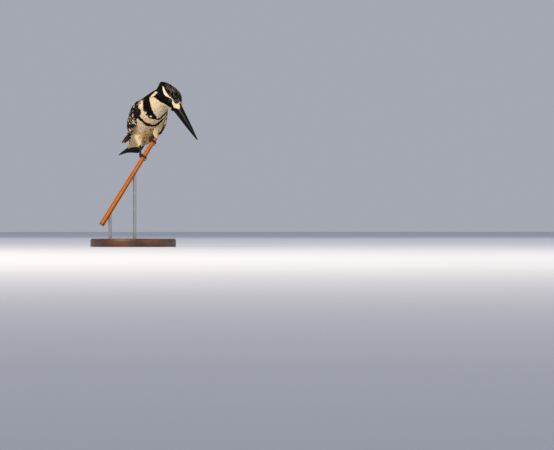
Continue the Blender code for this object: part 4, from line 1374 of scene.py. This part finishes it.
# Eye glass: clear and polished over a painted iris. gaze is degrees from the pupil's middle.
glass, tree, shader = finish_named(
    "dark_brown_glass_eye", Roughness=0.3, Specular_IOR_Level=0.1, Coat_Weight=0.45, Coat_Roughness=0.02
)
gaze = wire(tree, "Attribute", attribute_name="gaze").outputs["Fac"]
turn = wire(tree, "Attribute", attribute_name="spokes").outputs["Fac"]
spokes = wire(tree, "TexNoise", {"W": turn, "Scale": 9.0, "Detail": 2.0}, noise_dimensions="1D")
dark_to_brown = {0: spokes.outputs["Fac"], 6: shade("#140A06"), 7: shade("#2E190E")}
iris = wire(tree, "Mix", dark_to_brown, data_type="RGBA").outputs[2]
pupil = wire(tree, "MapRange", {"Value": gaze, "From Min": 26.0, "From Max": 29.0}).outputs[0]
rim = wire(tree, "MapRange", {"Value": gaze, "From Min": 48.0, "From Max": 58.0}).outputs[0]
tone = wire(tree, "Mix", {0: pupil, 6: shade("#030303"), 7: iris}, data_type="RGBA").outputs[2]
tone = wire(tree, "Mix", {0: rim, 6: tone, 7: shade("#0C0706")}, data_type="RGBA").outputs[2]
tree.links.new(tone, shader.inputs["Base Color"])

# Lid skin: bare, dark grey and finely beaded.
lid_skin, tree, shader = finish_named("bare_lid_skin", Roughness=0.6, Specular_IOR_Level=0.2)
place = wire(tree, "TexCoord").outputs["Object"]
beads = wire(tree, "TexVoronoi", {"Vector": place, "Scale": 3600.0}).outputs["Distance"]
tone = wire(tree, "Mix", {0: beads, 6: shade("#161311"), 7: shade("#070606")}, data_type="RGBA").outputs[2]
tree.links.new(tone, shader.inputs["Base Color"])
relief = wire(tree, "Bump", {"Height": beads, "Strength": 0.5, "Distance": 0.0001}, invert=True).outputs[0]
tree.links.new(relief, shader.inputs["Normal"])
for side, name in ((1, "left"), (-1, "right")):
    ahead = (HEAD_FRAME.to_3x3() @ Vector((side, -0.22, 0.08))).normalized()
    level = (HEAD_FRAME.to_3x3() @ Vector((0, 1, -0.12))).normalized()
    level = (level - ahead * level.dot(ahead)).normalized()
    above = ahead.cross(level)
    turn = Matrix((level, above, ahead)).transposed().to_4x4()
    seat = Matrix.Translation(EYE_MIDDLES[side]) @ turn
    bm = bmesh.new()
    bmesh.ops.create_uvsphere(bm, u_segments=48, v_segments=32, radius=EYE_RADIUS * MM)
    angles = [(math.degrees(v.co.angle(Vector((0, 0, 1)))), math.atan2(v.co.y, v.co.x)) for v in bm.verts]
    for v, (angle, _) in zip(bm.verts, angles):
        v.co *= 1 + 0.03 * math.exp(-((angle / 32) ** 2))
    bmesh.ops.transform(bm, matrix=seat, verts=bm.verts[:])
    eye = piece_from(bm, f"eye_{name}_glass", glass)
    for label, values in (("gaze", [a for a, _ in angles]), ("spokes", [abs(b) * 4 for _, b in angles])):
        eye.data.attributes.new(label, "FLOAT", "POINT").data.foreach_set("value", values)
    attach(eye, "root")
    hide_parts(f"eye_{name}")
    bm = bmesh.new()
    upright = Matrix.Rotation(math.pi / 2, 4, "X")
    bmesh.ops.create_circle(bm, segments=12, radius=0.34 * MM, matrix=upright)
    bmesh.ops.scale(bm, verts=bm.verts[:], vec=(1, 1, 0.8))
    bmesh.ops.translate(bm, verts=bm.verts[:], vec=(3.3 * MM, 0, 1.55 * MM))
    spin_all(bm, 64)
    for v in bm.verts:
        corner = abs(math.cos(math.atan2(v.co.y, v.co.x))) ** 6
        v.co.x *= 1 + 0.10 * corner
        v.co.y *= 0.93
        v.co.z -= 0.45 * MM * corner
    bmesh.ops.transform(bm, matrix=seat, verts=bm.verts[:])
    lid = piece_from(bm, f"eyelid_{name}", lid_skin)
    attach(lid, "root")

# ---------------------------------------------------------------------------------------------
# Feet: short, weak, dark feet of horny scutes, three toes ahead and one behind, gripping the
# reed with curved black claws.

# Foot scutes: small horny plates with darker creases between them.
scutes, tree, shader = finish_named("dark_foot_scutes", Roughness=0.5, Specular_IOR_Level=0.3)
place = wire(tree, "TexCoord").outputs["Object"]
cells = wire(tree, "TexVoronoi", {"Vector": place, "Scale": 1500.0}, feature="DISTANCE_TO_EDGE")
plate = wire(tree, "MapRange", {"Value": cells.outputs["Distance"], "From Max": 0.18}).outputs[0]
tint = wire(tree, "TexNoise", {"Vector": place, "Scale": 500.0, "Detail": 2.0}).outputs["Fac"]
tone = wire(tree, "Mix", {0: tint, 6: shade("#12100E"), 7: shade("#231D17")}, data_type="RGBA").outputs[2]
tone = wire(tree, "Mix", {0: plate, 6: shade("#0A0807"), 7: tone}, data_type="RGBA").outputs[2]
tree.links.new(tone, shader.inputs["Base Color"])
relief = wire(tree, "Bump", {"Height": plate, "Strength": 0.6, "Distance": 0.00012}).outputs[0]
tree.links.new(relief, shader.inputs["Normal"])
# Claw horn: smooth and glossy, black with a little brown.
claw_horn, tree, shader = finish_named("black_claw_horn", Roughness=0.3)
place = wire(tree, "TexCoord").outputs["Object"]
tint = wire(tree, "TexNoise", {"Vector": place, "Scale": 900.0, "Detail": 2.0}).outputs["Fac"]
tone = wire(tree, "Mix", {0: tint, 6: shade("#0B0A0A"), 7: shade("#2C2723")}, data_type="RGBA").outputs[2]
tree.links.new(tone, shader.inputs["Base Color"])
UPPER_SIDE = Vector((-REED_AXIS.z, 0, REED_AXIS.x))
BESIDE = REED_AXIS.cross(UPPER_SIDE)
TOE_REACH = 7.4  # millimetres from the reed's middle; the foot beyond it is shank
CREASE_TURN = 24  # degrees round the reed from one crease of a toe to the next
SCUTE_STEP = 1.5  # millimetres from one plate of the shank to the next
for name in ("left", "right"):
    bm = bmesh.new()
    bm.from_mesh(merged(f"foot_{name}", 0.04 * MM))
    foot_mesh = remeshed(bm, 0.32 * MM)
    points, edges, _ = mesh_arrays(foot_mesh)
    points, _, normals = moved(foot_mesh, evened(points, edges, 3))
    away = points - np.array(REED_FOOT)
    away = away - (away @ np.array(REED_AXIS))[:, None] * np.array(REED_AXIS)
    angle = np.degrees(np.arctan2(away @ np.array(BESIDE), away @ np.array(UPPER_SIDE)))
    reach = np.linalg.norm(away, axis=1) * 1000
    on_toe = np.clip((TOE_REACH - reach) / 0.8, 0, 1)
    crease = np.exp(-((np.sin(np.radians(angle) * 180 / CREASE_TURN / 2) / 0.3) ** 2))
    crease = crease * on_toe * (np.abs(angle) > 18)
    step = np.exp(-((np.sin(points[:, 2] * 1000 * math.pi / SCUTE_STEP) / 0.35) ** 2)) * (1 - on_toe)
    moved(foot_mesh, points + normals * (0.06 - 0.22 * crease - 0.09 * step)[:, None] * MM)
    foot = dressed(f"foot_{name}_scutes", foot_mesh, scutes)
    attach(foot, "root")
    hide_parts(f"foot_{name}")
    claws = [f"claw_{toe}_{name}" for toe in ("inner", "middle", "outer", "hind")]
    bm = bmesh.new()
    for claw in claws:
        bm.from_mesh(merged(claw, 0.05 * MM))
    bmesh.ops.subdivide_edges(bm, edges=bm.edges[:], cuts=1, smooth=0.8, use_grid_fill=True)
    claw_piece = piece_from(bm, f"claws_{name}", claw_horn)
    claw_piece.modifiers.new("rounded", "SUBSURF").levels = 1
    claw_piece.modifiers["rounded"].render_levels = 1
    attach(claw_piece, "root")
    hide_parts(*claws)

# ---------------------------------------------------------------------------------------------
# Camera, floor and light: a level view from the bird's right, a pale floor and soft light.

# Matt plaster: almost even, with faint broad clouds.
FLOOR_DARK, FLOOR_PALE = "#CDD0D9", "#D5D8E0"
plaster, tree, shader = finish_named("pale_matt_plaster", Roughness=0.9)
place = wire(tree, "TexCoord").outputs["Object"]
cloud = wire(tree, "TexNoise", {"Vector": place, "Scale": 3.0, "Detail": 4.0}).outputs["Fac"]
tone = wire(tree, "Mix", {0: cloud, 6: shade(FLOOR_DARK), 7: shade(FLOOR_PALE)}, data_type="RGBA").outputs[2]
tree.links.new(tone, shader.inputs["Base Color"])
bm = bmesh.new()
bmesh.ops.create_grid(bm, x_segments=8, y_segments=8, size=20.0)
floor = piece_from(bm, "studio_floor", plaster)

AIM = Vector((0.2013, -0.0544, 0.0316))
VIEW_TURN = math.radians(-18)
VIEW_DISTANCE = 10.0
VIEW_WIDTH = 0.8033  # metres seen from side to side at the bird
SENSOR_WIDTH = 36
camera = linked("camera", bpy.data.cameras.new("camera"))
camera.location = AIM + Vector((math.sin(VIEW_TURN), -math.cos(VIEW_TURN), 0)) * VIEW_DISTANCE
camera.rotation_euler = (math.radians(90), 0, VIEW_TURN)
camera.data.sensor_width = SENSOR_WIDTH
camera.data.lens = SENSOR_WIDTH * VIEW_DISTANCE / VIEW_WIDTH
camera.data.clip_end = 100
bpy.context.scene.camera = camera


def lamp(name, place, target, size, power, colour):
    """A square soft lamp at a place, facing its target."""
    light = bpy.data.lights.new(name, "AREA")
    light.size, light.energy, light.color = size, power, shade(colour)[:3]
    made = linked(name, light)
    made.location = place
    made.rotation_euler = (Vector(target) - Vector(place)).to_track_quat("-Z", "Y").to_euler()


BREAST = (0.03, -0.01, 0.18)
lamp("key_softbox", (-3.9, -3.6, 4.2), BREAST, 1.8, 440, "#FFF0DA")
lamp("fill_softbox", (4.8, -4.5, 2.4), BREAST, 4.8, 54, "#EEF2FF")
lamp("back_softbox", (1.8, 5.4, 4.5), BREAST, 3.6, 63, "#F4F6FF")
world = bpy.data.worlds.new("studio")
world.use_nodes = True
world.node_tree.nodes["Background"].inputs["Color"].default_value = shade("#C6CBD8")
world.node_tree.nodes["Background"].inputs["Strength"].default_value = 0.66
bpy.context.scene.world = world
bpy.context.scene.view_settings.view_transform = "Standard"
